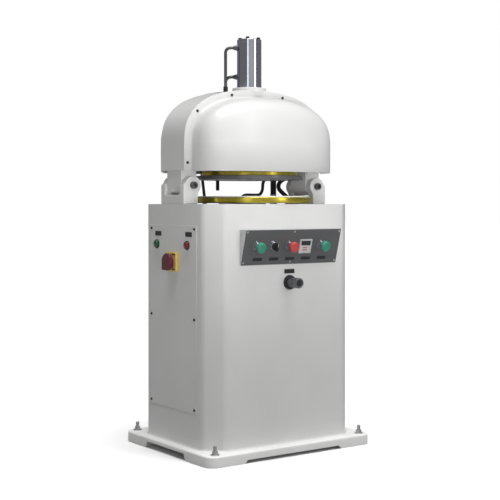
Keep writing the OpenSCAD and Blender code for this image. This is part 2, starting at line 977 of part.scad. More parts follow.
module head_arch() {
    depth = head_front + head_rear;
    pad_z = arch_top - manifold_drop;
    color(paint)
        difference() {
            union() {
                arch_band();
                arch_leg();
                mirror([1, 0, 0]) arch_leg();
                intersection() {
                    at_axis(pad_z) cylinder(d = crown_dia, h = manifold_drop + crown_rise);
                    translate([-crown_dia / 2, -head_front, pad_z])
                        cube([crown_dia, depth, manifold_drop + crown_rise]);
                }
                translate([manifold_x - manifold_w / 2, manifold_front, pad_z])
                    cube([manifold_w, head_rear - manifold_front, manifold_pad_h]);
            }
            at_axis(pad_z - over)
                cylinder(d = rod_dia + 2 * rod_gap, h = manifold_drop + crown_rise + 2 * over);
            for (s = [-1, 1])
                along_y(s * pin_x, -head_front, pin_z) cylinder(d = pin_dia + 2 * fit, h = depth);
            for (p = pipe_places)
                translate([p[0], p[1], pad_z]) {
                    translate([0, 0, -over]) cylinder(d = pipe_dia + 2 * fit, h = manifold_drop + 2 * over);
                    translate([0, 0, manifold_pad_h]) cylinder(r = fitting_r + fit, h = manifold_drop);
                }
        }
}

// Rings of one cover's outer and inner skin, from the arch out to the dome's end

function dome_ring(k, half, rise, bulge, power) =
    let (a = dome_end * k / dome_steps, size = pow(cos(a), 2 / dome_power))
    arch_line(half * size, rise * size, -bulge * pow(sin(a), 2 / dome_power), cover_z, power);

function outer_rings(flange, rise, bulge, power) = concat(
    [arch_line(arch_half, rise, 0, cover_z, power), arch_line(arch_half, rise, -cover_t, cover_z, power),
        arch_line(arch_half - flange, rise - flange, -cover_t, cover_z, power)],
    [for (k = [2 : dome_steps]) dome_ring(k, arch_half - flange, rise - flange, bulge, power)]);

function inner_rings(inset, rise, bulge, power) = concat(
    [arch_line(arch_half - inset, rise - inset, 0, cover_z, power)],
    [for (k = [2 : dome_steps]) dome_ring(k, arch_half - inset, rise - inset, bulge - cover_t, power)]);

module cover(flange, rise, bulge, power) {
    outer = outer_rings(flange, rise, bulge, power);
    inner = inner_rings(flange + cover_t, rise, bulge, power);
    n = len(outer[0]);
    rows = len(outer);
    cols = len(inner);
    base = rows * n;
    tip = base + cols * n;
    last = (rows - 1) * n;
    inner_last = base + (cols - 1) * n;
    mid_z = (cover_z + arch_z0) / 2;
    skin = [for (i = [0 : rows - 2], j = [0 : n - 2])
        each split(i * n + j, i * n + j + 1, (i + 1) * n + j + 1, (i + 1) * n + j)];
    lining = [for (i = [0 : cols - 2], j = [0 : n - 2])
        each split(base + i * n + j, base + (i + 1) * n + j, base + (i + 1) * n + j + 1,
            base + i * n + j + 1)];
    seat_face = [for (j = [0 : n - 2]) each split(j, base + j, base + j + 1, j + 1)];
    end_face = [for (j = [0 : n - 1]) [last + j, last + (j + 1) % n, tip]];
    end_lining = [for (j = [0 : n - 1]) [inner_last + (j + 1) % n, inner_last + j, tip + 1]];
    left_edge = [for (i = [0 : cols - 2])
        each split((i + 2) * n, (i + 3) * n, base + (i + 1) * n, base + i * n)];
    right_edge = [for (i = [0 : cols - 2])
        each split(base + (i + 1) * n - 1, base + (i + 2) * n - 1, (i + 4) * n - 1, (i + 3) * n - 1)];
    edge_ends = concat(split(0, n, 2 * n, base), split(base + n - 1, 3 * n - 1, 2 * n - 1, n - 1),
        split(inner_last, last, last + n - 1, inner_last + n - 1));
    tips = [for (ring = [outer[rows - 1], inner[cols - 1]]) [0, ring[0][1], mid_z]];
    polyhedron(concat([for (ring = concat(outer, inner)) each ring], tips),
        concat(skin, lining, seat_face, end_face, end_lining, left_edge, right_edge, edge_ends));
}

module front_cover() {
    color(paint)
        translate([0, -head_front, 0]) cover(cover_flange, arch_rise, front_bulge, arch_power);
}

module rear_cover() {
    color(paint)
        translate([0, head_rear, 0])
            mirror([0, 1, 0]) cover(cover_flange + rear_inset, rear_rise, rear_bulge, rear_power);
}

module flange_screws() {
    half = arch_half - cover_flange / 2;
    rise = arch_rise - cover_flange / 2;
    places = concat(
        [for (s = [-1, 1]) [s * half, head_z + cover_screw_up]],
        [for (a = cover_screw_angles) [half * curve(cos(a)), arch_z0 + rise * curve(sin(a))]]);
    for (p = places)
        translate([p[0], 0, p[1]]) rotate([90, 0, 0]) domed_head(cover_screw_dia, cover_screw_h);
}

module cover_screws() {
    color(black) {
        translate([0, -head_front - cover_t, 0]) flange_screws();
        translate([0, head_rear + cover_t, 0]) mirror([0, 1, 0]) flange_screws();
    }
}

// Cylinder, pipes and hoses

module cylinder_collar() {
    color(paint) at_axis(collar_z) tube(foot_collar_dia, rod_dia + 2 * run, foot_collar_h);
}

module cylinder_barrel() {
    color(steel) at_axis(cylinder_z) tube(cylinder_dia, cylinder_bore, cylinder_len);
}

module cylinder_cap() {
    color(steel) at_axis(cylinder_z + cylinder_len) cylinder(d = cylinder_dia, h = cylinder_cap_t);
}

module cylinder_bolts() {
    color(black)
        at_axis(cylinder_z + cylinder_len + cylinder_cap_t)
            for (a = [45 : 90 : 315])
                rotate([0, 0, a])
                    translate([bolt_ring_r, 0, 0])
                        difference() {
                            cylinder(d = bolt_dia, h = bolt_h);
                            translate([0, 0, bolt_h / 2]) cylinder(d = bolt_dia / 2, h = bolt_h, $fn = 6);
                        }
}

function pipe_reach(p) = norm([p[0], p[1] - axis_y]);

function pipe_angle(p) = atan2(p[1] - axis_y, p[0]);

module oil_pipe(p, top) {
    foot = arch_top - manifold_drop;
    port = cylinder_dia / 2 + fitting_h;
    translate([p[0], p[1], 0])
        rotate([0, 0, pipe_angle(p) + 180]) {
            translate([0, 0, foot]) cylinder(d = pipe_dia, h = top - pipe_bend_r - foot);
            translate([pipe_bend_r, 0, top - pipe_bend_r])
                rotate([90, 0, 0])
                    rotate([0, 0, 90])
                        rotate_extrude(angle = 90) translate([pipe_bend_r, 0]) circle(d = pipe_dia);
            translate([pipe_bend_r, 0, top])
                rotate([0, 90, 0]) cylinder(d = pipe_dia, h = pipe_reach(p) - port - pipe_bend_r);
        }
}

module oil_pipes() {
    color(dark_grey)
        for (i = [0, 1])
            oil_pipe(pipe_places[i], pipe_tops[i]);
}

module head_manifold() {
    color(steel)
        translate([manifold_x - manifold_w / 2, manifold_front, arch_top - manifold_drop - manifold_h])
            cube([manifold_w, head_rear - manifold_front, manifold_h]);
}

module stop_rod() {
    top = arch_top - manifold_drop - manifold_h;
    arm_z = top - stop_arm_drop;
    color(dark_grey) {
        translate([-stop_arm_w / 2, stop_arm_y, arm_z]) cube([stop_arm_w, stop_arm_h, stop_arm_drop]);
        translate([-stop_arm_w / 2, stop_arm_y, arm_z])
            cube([stop_arm_w, stop_rod_y + stop_rod_dia / 2 - stop_arm_y, stop_arm_h]);
        translate([0, stop_rod_y, cabinet_top + stop_rod_end])
            cylinder(d = stop_rod_dia, h = arm_z + stop_arm_h / 2 - cabinet_top - stop_rod_end);
    }
}

// A hose swept along its route, smoothed between the route's points

function bend(a, b, c, d, t) =
    b + t * (c - a) / 2 + t * t * (a - 5 * b / 2 + 2 * c - d / 2) + t * t * t * (3 * (b - c) + d - a) / 2;

function smooth(route) = let (n = len(route)) concat(
    [for (i = [0 : n - 2], k = [0 : hose_parts - 1])
        bend(route[max(i - 1, 0)], route[i], route[i + 1], route[min(i + 2, n - 1)], k / hose_parts)],
    [route[n - 1]]);

function unit(v) = v / norm(v);

function square_to(v, t) = unit(v - (v * t) * t);

function headings(p) = concat([[0, 0, 1]],
    [for (i = [1 : len(p) - 2]) unit(p[i + 1] - p[i - 1])], [[0, -1, 0]]);

function sides(t) = [for (i = 0, v = square_to([1, 1, 0], t[0]); i < len(t);
    i = i + 1, v = i < len(t) ? square_to(v, t[i]) : v) v];

module hose(route, r, foot) {
    path = smooth(route);
    t = headings(path);
    v = sides(t);
    n = hose_sides;
    rows = len(path);
    points = [for (i = [0 : rows - 1], j = [0 : n - 1]) let (a = 360 * j / n)
        path[i] + r * (cos(a) * v[i] + sin(a) * cross(t[i], v[i]))];
    skin = [for (i = [0 : rows - 2], j = [0 : n - 1]) let (k = (j + 1) % n)
        each split(i * n + j, (i + 1) * n + j, (i + 1) * n + k, i * n + k)];
    translate([foot[0], foot[1], cabinet_top + fitting_h])
        polyhedron(points, concat(skin,
            [[for (j = [0 : n - 1]) j]], [[for (j = [n - 1 : -1 : 0]) (rows - 1) * n + j]]));
}

module rear_hoses() {
    color(black) {
        hose(slim_route, slim_r, slim_foot);
        hose(thick_route, thick_r, thick_foot);
        hose(bow_route, bow_r, bow_foot);
        hose(bent_route, bent_r, bent_foot);
    }
}

module fitting(r) {
    cylinder(r = r + fitting_lip, h = fitting_h / 2, $fn = 6);
    cylinder(r = r + fitting_lip / 2, h = fitting_h);
}

module hose_ends(route, r, foot) {
    end = route[len(route) - 1];
    translate([foot[0], foot[1], cabinet_top]) fitting(r);
    along_y(foot[0] + end[0], head_rear, cabinet_top + fitting_h + end[2]) fitting(r);
}

module fittings() {
    color(dark_grey) {
        hose_ends(slim_route, slim_r, slim_foot);
        hose_ends(thick_route, thick_r, thick_foot);
        hose_ends(bow_route, bow_r, bow_foot);
        hose_ends(bent_route, bent_r, bent_foot);
        for (i = [0, 1]) {
            p = pipe_places[i];
            difference() {
                at_axis(pipe_tops[i])
                    rotate([0, 0, pipe_angle(p)])
                        rotate([0, 90, 0])
                            cylinder(r1 = fitting_r + fitting_lip, r2 = fitting_r - fitting_lip,
                                h = cylinder_dia / 2 + fitting_h);
                at_axis(cylinder_z) cylinder(d = cylinder_dia + 2 * fit, h = cylinder_len);
            }
            translate([p[0], p[1], arch_top - manifold_drop + manifold_pad_h])
                tube(2 * fitting_r, pipe_dia + 2 * fit, 2 * fitting_h);
        }
    }
}

// Press

module press_rod() {
    color(steel) {
        at_axis(press_plate_top)
            cylinder(d = rod_dia, h = cylinder_z + piston_up - press_plate_top + piston_h / 2);
        at_axis(cylinder_z + piston_up) cylinder(d = cylinder_bore - 2 * run, h = piston_h);
    }
}

module at_knife_rods() {
    for (i = [0 : knife_rod_count - 1])
        rotate([0, 0, 90 + 360 * i / knife_rod_count])
            translate([pad_r * pad_radius_shares[2], 0, 0])
                children();
}

module press_plate() {
    color(steel)
        at_axis(press_plate_z)
            difference() {
                cylinder(r = guard_r, h = press_plate_t);
                at_knife_rods()
                    translate([0, 0, -over])
                        cylinder(d = knife_rod_dia + 2 * run, h = press_plate_t + 2 * over);
            }
}

module cells(gap, h) {
    for (i = [0 : 2]) {
        inner_r = pad_r * pad_radius_shares[i];
        for (k = [0 : pad_counts[i] - 1])
            rotate([0, 0, 360 * k / pad_counts[i]])
                translate([inner_r - over, -gap / 2, 0])
                    cube([pad_r * pad_radius_shares[i + 1] - inner_r + over, gap, h]);
        if (i > 0)
            tube(2 * inner_r + gap, 2 * inner_r - gap, h);
    }
}

module press_pads() {
    pad_h = press_plate_z - press_z - pad_up;
    color([0.93, 0.93, 0.9])
        at_axis(press_z + pad_up)
            difference() {
                cylinder(r = pad_r - knife_gap, h = pad_h);
                translate([0, 0, -over]) cells(knife_t + 2 * knife_gap, pad_h + 2 * over);
                at_knife_rods()
                    translate([0, 0, -over])
                        cylinder(d = knife_rod_dia + 2 * knife_gap, h = pad_h + 2 * over);
            }
}

module guard_ring() {
    color(brass) at_axis(guard_z) tube(2 * guard_r, 2 * (guard_r - guard_t), guard_h);
}

module press_ring() {
    color(black) at_axis(press_z) tube(2 * press_r, 2 * (guard_r - guard_t), press_ring_h);
}

module knife_grid() {
    foot = press_z + knife_travel + pad_up;
    carrier_z = press_plate_top + knife_travel + carrier_gap;
    carrier_r = pad_r * pad_radius_shares[2];
    color(steel) {
        at_axis(foot) cells(knife_t, knife_h);
        at_axis(foot) at_knife_rods() cylinder(d = knife_rod_dia, h = carrier_z + carrier_t / 2 - foot);
        at_axis(carrier_z) tube(2 * carrier_r + carrier_w, 2 * carrier_r - carrier_w, carrier_t);
    }
}

// Table and cranks

module table_disc() {
    pin_h = table_t - pin_cover;
    color(steel)
        difference() {
            translate([0, table_y, table_z]) cylinder(r = table_disc_r - fit, h = table_t);
            translate([0, table_y, table_z - over])
                cylinder(d = crank_pin_dia + 2 * run, h = pin_h + over);
            translate([0, idle_y - crank_ecc, table_z - over])
                cylinder(d = idle_pin_dia + 2 * run, h = pin_h + over);
        }
}

module table_rim() {
    color(brass)
        translate([0, table_y, table_top - table_rim_h])
            tube(2 * table_r, 2 * table_disc_r, table_rim_h);
}

module dough_plate() {
    color([0.95, 0.95, 0.93])
        translate([0, table_y, dough_z]) cylinder(r = dough_r, h = dough_t);
}

module crank(shaft_dia, shaft_z, flange_dia, pin_d) {
    flange_h = table_z - seat - crank_flange_z;
    translate([0, 0, shaft_z]) cylinder(d = shaft_dia, h = crank_flange_z - shaft_z + flange_h / 2);
    translate([0, 0, crank_flange_z]) cylinder(d = flange_dia, h = flange_h);
    translate([0, -crank_ecc, crank_flange_z + flange_h / 2])
        cylinder(d = pin_d, h = flange_h / 2 + table_t - pin_cover);
}

module crank_shaft() {
    color(steel)
        at_axis(0) crank(crank_dia, pulley_z - shaft_end, crank_flange_dia, crank_pin_dia);
}

module idle_crank() {
    color(steel)
        translate([0, idle_y, 0])
            crank(idle_dia, housing_z - idle_housing_len - shaft_end, idle_flange_dia, idle_pin_dia);
}

module bearing_housing(flange_dia, bore, length) {
    difference() {
        union() {
            translate([0, 0, housing_z]) cylinder(d = flange_dia, h = housing_flange_t);
            translate([0, 0, housing_z - length]) cylinder(d = bore + 2 * housing_wall, h = length + over);
        }
        translate([0, 0, housing_z - length - over])
            cylinder(d = bore + 2 * run, h = length + 2 * over + housing_flange_t);
    }
}

module bearing_housings() {
    color(dark_grey) {
        at_axis(0) bearing_housing(crank_seat_dia, crank_dia, crank_housing_len);
        translate([0, idle_y, 0]) bearing_housing(idle_seat_dia, idle_dia, idle_housing_len);
    }
}

// Drive

module crank_pulley() {
    color(dark_grey) at_axis(pulley_z) tube(2 * crank_pulley_r, crank_dia + 2 * fit, pulley_h);
}

module motor_pulley() {
    color(steel)
        translate([motor_x, motor_y, 0]) {
            translate([0, 0, pulley_z]) cylinder(r = motor_pulley_r, h = pulley_h);
            translate([0, 0, shelf_z - motor_shaft_in])
                cylinder(d = motor_shaft_dia, h = motor_shaft_in + pulley_z + pulley_h / 2 - shelf_z);
        }
}

module belt_loop(extra, h) {
    hull() {
        translate([0, axis_y, 0]) cylinder(r = crank_pulley_r + belt_gap + extra, h = h);
        translate([motor_x, motor_y, 0]) cylinder(r = motor_pulley_r + belt_gap + extra, h = h);
    }
}

module drive_belt() {
    color(black)
        translate([0, 0, pulley_z + (pulley_h - belt_w) / 2])
            difference() {
                belt_loop(belt_t, belt_w);
                translate([0, 0, -over]) belt_loop(0, belt_w + 2 * over);
            }
}

module motor_shelf() {
    color(steel)
        difference() {
            cabinet_prism(sheet + seat, shelf_z, shelf_t);
            translate([motor_x, motor_y, shelf_z - over])
                cylinder(d = shelf_hole_dia, h = shelf_t + 2 * over);
        }
}

module drive_motor() {
    color(dark_grey)
        translate([motor_x, motor_y, shelf_z - motor_len])
            difference() {
                union() {
                    cylinder(d = motor_dia, h = motor_len);
                    translate([0, motor_dia / 2, motor_len / 2]) slab(terminal_w, terminal_w, terminal_w);
                }
                translate([0, 0, motor_len - motor_shaft_in - seat])
                    cylinder(d = motor_shaft_dia + 2 * run, h = motor_shaft_in + seat + over);
            }
}

module oil_tank() {
    color(dark_grey) translate([tank_x, tank_y, base_h]) slab(tank_w, tank_d, tank_h);
}

module pump_unit() {
    color(steel)
        translate([tank_x, tank_y, base_h + tank_h]) {
            translate([-pump_shift, 0, 0]) cylinder(d = pump_dia, h = pump_h);
            translate([pump_shift, 0, 0]) slab(valve_w, valve_w, valve_h);
        }
}

base_plate();
levelling_feet();
cabinet_shell();
deck_plate();
left_panel();
rear_panel();
panel_screws();
lamp_bezels();
green_lamp();
red_lamp();
switch_plate();
switch_knob();
label_plates();
control_panel();
control_panel_screws();
button_collars();
start_button_left();
start_button_right();
stop_button();
selector_knob();
timer_case();
timer_display();
timer_keypad();
adjuster_flange();
adjusting_knob();
left_yoke();
right_yoke();
pivot_pins();
head_arch();
front_cover();
rear_cover();
cover_screws();
cylinder_collar();
cylinder_barrel();
cylinder_cap();
cylinder_bolts();
oil_pipes();
head_manifold();
rear_hoses();
fittings();
stop_rod();
press_rod();
press_plate();
press_pads();
guard_ring();
press_ring();
knife_grid();
table_disc();
table_rim();
dough_plate();
crank_shaft();
crank_pulley();
idle_crank();
bearing_housings();
motor_shelf();
drive_motor();
motor_pulley();
drive_belt();
oil_tank();
pump_unit();
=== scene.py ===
"""Looks of a hydraulic divider rounder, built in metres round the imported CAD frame."""

import json
import math

import bmesh
import bpy
from mathutils import Matrix, Vector


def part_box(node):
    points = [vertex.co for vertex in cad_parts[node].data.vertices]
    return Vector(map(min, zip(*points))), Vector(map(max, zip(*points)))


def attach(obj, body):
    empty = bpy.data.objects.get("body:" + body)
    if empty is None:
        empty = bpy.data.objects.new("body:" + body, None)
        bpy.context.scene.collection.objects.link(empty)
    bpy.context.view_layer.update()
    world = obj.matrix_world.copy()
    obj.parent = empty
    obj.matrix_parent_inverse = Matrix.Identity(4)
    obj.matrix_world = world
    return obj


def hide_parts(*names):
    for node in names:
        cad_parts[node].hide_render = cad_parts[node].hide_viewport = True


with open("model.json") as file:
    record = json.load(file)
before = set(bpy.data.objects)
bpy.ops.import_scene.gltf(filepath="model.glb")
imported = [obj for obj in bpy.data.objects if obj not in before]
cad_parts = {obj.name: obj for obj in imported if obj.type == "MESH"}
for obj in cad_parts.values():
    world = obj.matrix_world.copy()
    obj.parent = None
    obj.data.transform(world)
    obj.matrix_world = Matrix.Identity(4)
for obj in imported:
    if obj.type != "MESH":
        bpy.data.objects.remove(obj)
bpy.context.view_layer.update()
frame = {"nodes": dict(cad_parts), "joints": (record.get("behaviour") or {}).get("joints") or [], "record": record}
NODES = frame["nodes"]
BODY = {n: body for body, names in frame["record"]["behaviour"]["bodies"].items() for n in names}
SLOT = {part["node"]: part["material_slot"] for part in frame["record"]["subparts"]}
MM = 0.001
UP = Vector((0, 0, 1))
LEFT = Vector((-1, 0, 0))
FRONT = Vector((0, -1, 0))


# Camera, from the photograph: a level view from the front left

CAMERA_PLACE = (-2.3248, -3.3166, 0.850)
CAMERA_YAW = -35.29
CAMERA_LENS = 81.57
CAMERA_SHIFT = (-0.0049, -0.092)
CAMERA_FAR = 60.0
SENSOR = 36.0


def add_camera():
    """The photograph's own view, as the scene's camera."""
    data = bpy.data.cameras.new("camera")
    data.lens = CAMERA_LENS
    data.sensor_width = SENSOR
    data.shift_x, data.shift_y = CAMERA_SHIFT
    data.clip_end = CAMERA_FAR
    camera = bpy.data.objects.new("camera", data)
    camera.location = CAMERA_PLACE
    camera.rotation_euler = (math.pi / 2, 0, math.radians(CAMERA_YAW))
    bpy.context.scene.collection.objects.link(camera)
    bpy.context.scene.camera = camera


# Materials: each is one shader with its detail from noise in object space

RAMP_STOPS = (0.3, 0.7)


class Shader:
    """A material's node tree with a Principled shader and helpers for noise, shades and bump."""

    def __init__(self, name, **sockets):
        self.material = bpy.data.materials.new(name)
        self.material.use_nodes = True
        self.tree = self.material.node_tree
        self.main = self.tree.nodes["Principled BSDF"]
        self.place = self.tree.nodes.new("ShaderNodeTexCoord").outputs["Object"]
        for socket, value in sockets.items():
            self.main.inputs[socket.replace("_", " ")].default_value = value

    def link(self, source, target):
        self.tree.links.new(source, target)

    def stretched(self, stretch):
        node = self.tree.nodes.new("ShaderNodeMapping")
        node.inputs["Scale"].default_value = stretch
        self.link(self.place, node.inputs["Vector"])
        return node.outputs["Vector"]

    def noise(self, scale, detail, stretch=(1, 1, 1)):
        node = self.tree.nodes.new("ShaderNodeTexNoise")
        node.inputs["Scale"].default_value = scale
        node.inputs["Detail"].default_value = detail
        self.link(self.stretched(stretch), node.inputs["Vector"])
        return node.outputs["Fac"]

    def colour(self, source, low, high):
        node = self.tree.nodes.new("ShaderNodeValToRGB")
        for stop, place, shade in zip(node.color_ramp.elements, RAMP_STOPS, (low, high)):
            stop.position = place
            stop.color = (*shade, 1)
        self.link(source, node.inputs["Fac"])
        self.link(node.outputs["Color"], self.main.inputs["Base Color"])

    def roughness(self, source, low, high):
        node = self.tree.nodes.new("ShaderNodeMapRange")
        node.inputs["To Min"].default_value = low
        node.inputs["To Max"].default_value = high
        self.link(source, node.inputs["Value"])
        self.link(node.outputs["Result"], self.main.inputs["Roughness"])

    def is_seen(self):
        return self.tree.nodes.new("ShaderNodeLightPath").outputs["Is Camera Ray"]

    def bump(self, source, strength, distance):
        node = self.tree.nodes.new("ShaderNodeBump")
        node.inputs["Strength"].default_value = strength
        node.inputs["Distance"].default_value = distance
        self.link(source, node.inputs["Height"])
        self.link(node.outputs["Normal"], self.main.inputs["Normal"])


def paint(name, low, high, rough, peel, coat=0.0):
    """Sprayed paint: soft clouding, a fine orange peel and uneven gloss."""
    shader = Shader(name, Coat_Weight=coat, Coat_Roughness=0.12)
    shader.colour(shader.noise(scale=3.5, detail=4), low, high)
    shader.roughness(shader.noise(scale=40, detail=3), rough - 0.06, rough + 0.08)
    shader.bump(shader.noise(scale=420, detail=2), strength=peel, distance=0.4 * MM)
    return shader.material


def metal(name, low, high, rough, grain, stretch, uneven=0.09):
    """Metal with tool marks along one way and gloss that varies with them."""
    shader = Shader(name, Metallic=1.0)
    marks = shader.noise(scale=60, detail=5, stretch=stretch)
    shader.colour(shader.noise(scale=9, detail=4), low, high)
    shader.roughness(marks, rough - uneven, rough + uneven)
    shader.bump(marks, strength=grain, distance=0.1 * MM)
    return shader.material


def plastic(name, low, high, rough, grain, coat=0.0):
    """Moulded plastic or rubber with a fine grain and slight shade changes."""
    shader = Shader(name, Coat_Weight=coat, Coat_Roughness=0.08)
    shader.colour(shader.noise(scale=30, detail=3), low, high)
    shader.roughness(shader.noise(scale=70, detail=3), rough - 0.07, rough + 0.07)
    shader.bump(shader.noise(scale=1600, detail=2), strength=grain, distance=0.15 * MM)
    return shader.material


def lens(name, low, high):
    """Clear coloured lens of a signal lamp, ribbed faintly by its moulding."""
    shader = Shader(name, Transmission_Weight=0.35, IOR=1.49, Coat_Weight=0.6)
    shader.colour(shader.noise(scale=150, detail=2), low, high)
    shader.roughness(shader.noise(scale=200, detail=2), 0.08, 0.2)
    shader.bump(shader.noise(scale=300, detail=1), strength=0.05, distance=0.2 * MM)
    return shader.material


# Each paint: darker and lighter shade, roughness, orange peel, clear coat
PAINTS = {
    # white_paint and base_paint are one white paint in a darker and a lighter copy. base_paint's lighter shade is
    # a painted highlight that makes the parts in its slot look more brightly lit than the rest.
    "white_paint": ((0.7, 0.7, 0.69), (0.76, 0.76, 0.75), 0.34, 0.035, 0.25),
    "base_paint": ((0.86, 0.86, 0.85), (0.92, 0.92, 0.91), 0.42, 0.05, 0.1),
    "console_paint": ((0.085, 0.088, 0.09), (0.11, 0.113, 0.115), 0.45, 0.3),
    "cast_iron": ((0.05, 0.052, 0.058), (0.09, 0.092, 0.1), 0.55, 0.4),
    "black_steel": ((0.012, 0.012, 0.014), (0.03, 0.03, 0.034), 0.4, 0.15),
    "ring_grey": ((0.075, 0.075, 0.08), (0.115, 0.115, 0.12), 0.34, 0.1, 0.3),
    "oil_tank": ((0.04, 0.042, 0.048), (0.06, 0.062, 0.068), 0.5, 0.2),
}
# Each metal: darker and lighter shade, roughness, depth and stretch of its marks, uneven gloss
TURNED = (1, 1, 30)
UPRIGHT = (12, 12, 0.4)
EVEN = (1, 1, 1)
METALS = {
    "steel": ((0.5, 0.51, 0.53), (0.62, 0.63, 0.65), 0.32, 0.08, EVEN),
    "zinc": ((0.42, 0.42, 0.43), (0.58, 0.58, 0.59), 0.38, 0.1, EVEN),
    "chrome": ((0.62, 0.64, 0.72), (0.66, 0.68, 0.76), 0.12, 0.0, UPRIGHT, 0.02),
    "brass": ((0.64, 0.51, 0.06), (0.8, 0.66, 0.1), 0.28, 0.04, TURNED),
    "aluminium": ((0.46, 0.47, 0.49), (0.56, 0.57, 0.59), 0.36, 0.08, EVEN),
    "knob_grey": ((0.2, 0.205, 0.215), (0.27, 0.275, 0.285), 0.5, 0.1, EVEN),
    "pin_steel": ((0.13, 0.13, 0.135), (0.2, 0.2, 0.205), 0.42, 0.1, EVEN),
}
# Each plastic: darker and lighter shade, roughness, grain, clear coat
PLASTICS = {
    "rubber": ((0.013, 0.013, 0.015), (0.028, 0.028, 0.03), 0.62, 0.3),
    "black_plastic": ((0.014, 0.014, 0.016), (0.026, 0.026, 0.028), 0.42, 0.2),
    "label": ((0.01, 0.01, 0.012), (0.022, 0.022, 0.025), 0.35, 0.08),
    "white_plastic": ((0.74, 0.74, 0.71), (0.77, 0.77, 0.74), 0.4, 0.1),
    "grey_plastic": ((0.46, 0.47, 0.47), (0.56, 0.57, 0.57), 0.42, 0.15),
    "green_button": ((0.025, 0.2, 0.13), (0.04, 0.26, 0.18), 0.36, 0.05, 0.2),
    "red_button": ((0.45, 0.04, 0.045), (0.56, 0.07, 0.07), 0.36, 0.05, 0.2),
    "yellow_plastic": ((0.74, 0.55, 0.14), (0.82, 0.62, 0.18), 0.4, 0.12),
    "maroon_plastic": ((0.11, 0.012, 0.02), (0.18, 0.025, 0.04), 0.34, 0.08),
    "display": ((0.004, 0.005, 0.005), (0.008, 0.009, 0.009), 0.12, 0.0, 0.8),
}
# Each lens: darker and lighter shade
LENSES = {
    "green_lens": ((0.0072, 0.132, 0.03), (0.012, 0.22, 0.05)),
    "red_lens": ((0.24, 0.0072, 0.015), (0.4, 0.012, 0.025)),
}
MATERIALS = {name: make(name, *values)
             for make, table in ((paint, PAINTS), (metal, METALS), (plastic, PLASTICS), (lens, LENSES))
             for name, values in table.items()}


# Mesh helpers

# Faces that meet at less than this angle, in degrees, shade as one
FAIR = 32
WELD = 0.001 * MM
CAD_WELD = 0.002 * MM
FLAT = math.radians(0.6)
ON_AXIS = 1e-7
ARC_STEPS = 6
TURNED_ARC_STEPS = 5
TUBE_SIDES = 24
PATH_PARTS = 10


def add_piece(name, form, slot, angle=FAIR):
    """Links a form as an object with its slot's material, smooth up to the given angle."""
    bmesh.ops.recalc_face_normals(form, faces=form.faces)
    mesh = bpy.data.meshes.new(name)
    form.to_mesh(mesh)
    form.free()
    mesh.materials.append(MATERIALS[slot])
    mesh.shade_smooth()
    mesh.set_sharp_from_angle(angle=math.radians(angle))
    piece = bpy.data.objects.new(name, mesh)
    bpy.context.scene.collection.objects.link(piece)
    return piece


def stand_for(node, form, slot=None, angle=FAIR):
    """A piece that takes a CAD node's place on that node's body."""
    piece = add_piece(node + "_form", form, slot or SLOT[node], angle)
    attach(piece, BODY[node])
    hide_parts(node)
    return piece


def fit_on(name, body, form, slot, angle=FAIR):
    """A piece of trim that rides on a body."""
    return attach(add_piece(name, form, slot, angle), body)


def soften(piece, width, segments=3, angle=40):
    """Rounds a piece's edges by millimetres and keeps its flat faces flat in the shading."""
    bevel = piece.modifiers.new("edges", "BEVEL")
    bevel.width = width * MM
    bevel.segments = segments
    bevel.limit_method = "ANGLE"
    bevel.angle_limit = math.radians(angle)
    bevel.use_clamp_overlap = False
    bevel.harden_normals = True
    bevel.miter_outer = "MITER_ARC"


def thicken(piece, thickness, offset):
    """Gives a skin the thickness of its sheet."""
    sheet = piece.modifiers.new("sheet", "SOLIDIFY")
    sheet.thickness = thickness
    sheet.offset = offset


def solid(node):
    """The CAD node's own solid, welded."""
    form = bmesh.new()
    form.from_mesh(NODES[node].data)
    bmesh.ops.remove_doubles(form, verts=form.verts, dist=CAD_WELD)
    return form


def cad_form(node, pierced=False):
    """The CAD node's solid with its flat faces made whole, or cut up where holes pierce them."""
    form = solid(node)
    bmesh.ops.dissolve_limit(form, angle_limit=FLAT, verts=form.verts, edges=form.edges)
    if pierced:
        bmesh.ops.triangulate(form, faces=[face for face in form.faces if len(face.verts) > 4])
    return form


def clipped(node, cuts):
    """The CAD node's solid cut off at planes, each a point and the way out, with the cuts closed."""
    form = cad_form(node)
    for point, outward in cuts:
        whole = form.verts[:] + form.edges[:] + form.faces[:]
        cut = bmesh.ops.bisect_plane(form, geom=whole, dist=WELD, plane_co=point, plane_no=outward,
                                     clear_outer=True)
        rim = [e for e in cut["geom_cut"] if isinstance(e, bmesh.types.BMEdge) and e.is_boundary]
        bmesh.ops.triangle_fill(form, use_beauty=True, edges=rim, normal=outward)
    bmesh.ops.recalc_face_normals(form, faces=form.faces)
    return form


def dress(node, width, segments=3, pierced=False, slot=None):
    """The CAD node's solid with rounded edges."""
    soften(stand_for(node, cad_form(node, pierced), slot), width, segments)


def merge(form, other):
    """Adds a copy of another form to a form."""
    mesh = bpy.data.meshes.new("copy")
    other.to_mesh(mesh)
    form.from_mesh(mesh)
    bpy.data.meshes.remove(mesh)


def around(count):
    """Angles of evenly spaced points round a circle."""
    return [2 * math.pi * k / count for k in range(count)]


def quarter(steps):
    """Angles in even steps up to a right angle."""
    return [math.pi / 2 * k / steps for k in range(steps + 1)]


def skin(form, rings, closed=False):
    """Faces between rows of points, which run round or end at both sides."""
    for low, high in zip(rings, rings[1:]):
        for k in range(len(low) if closed else len(low) - 1):
            n = (k + 1) % len(low)
            form.faces.new([low[k], low[n], high[n], high[k]])


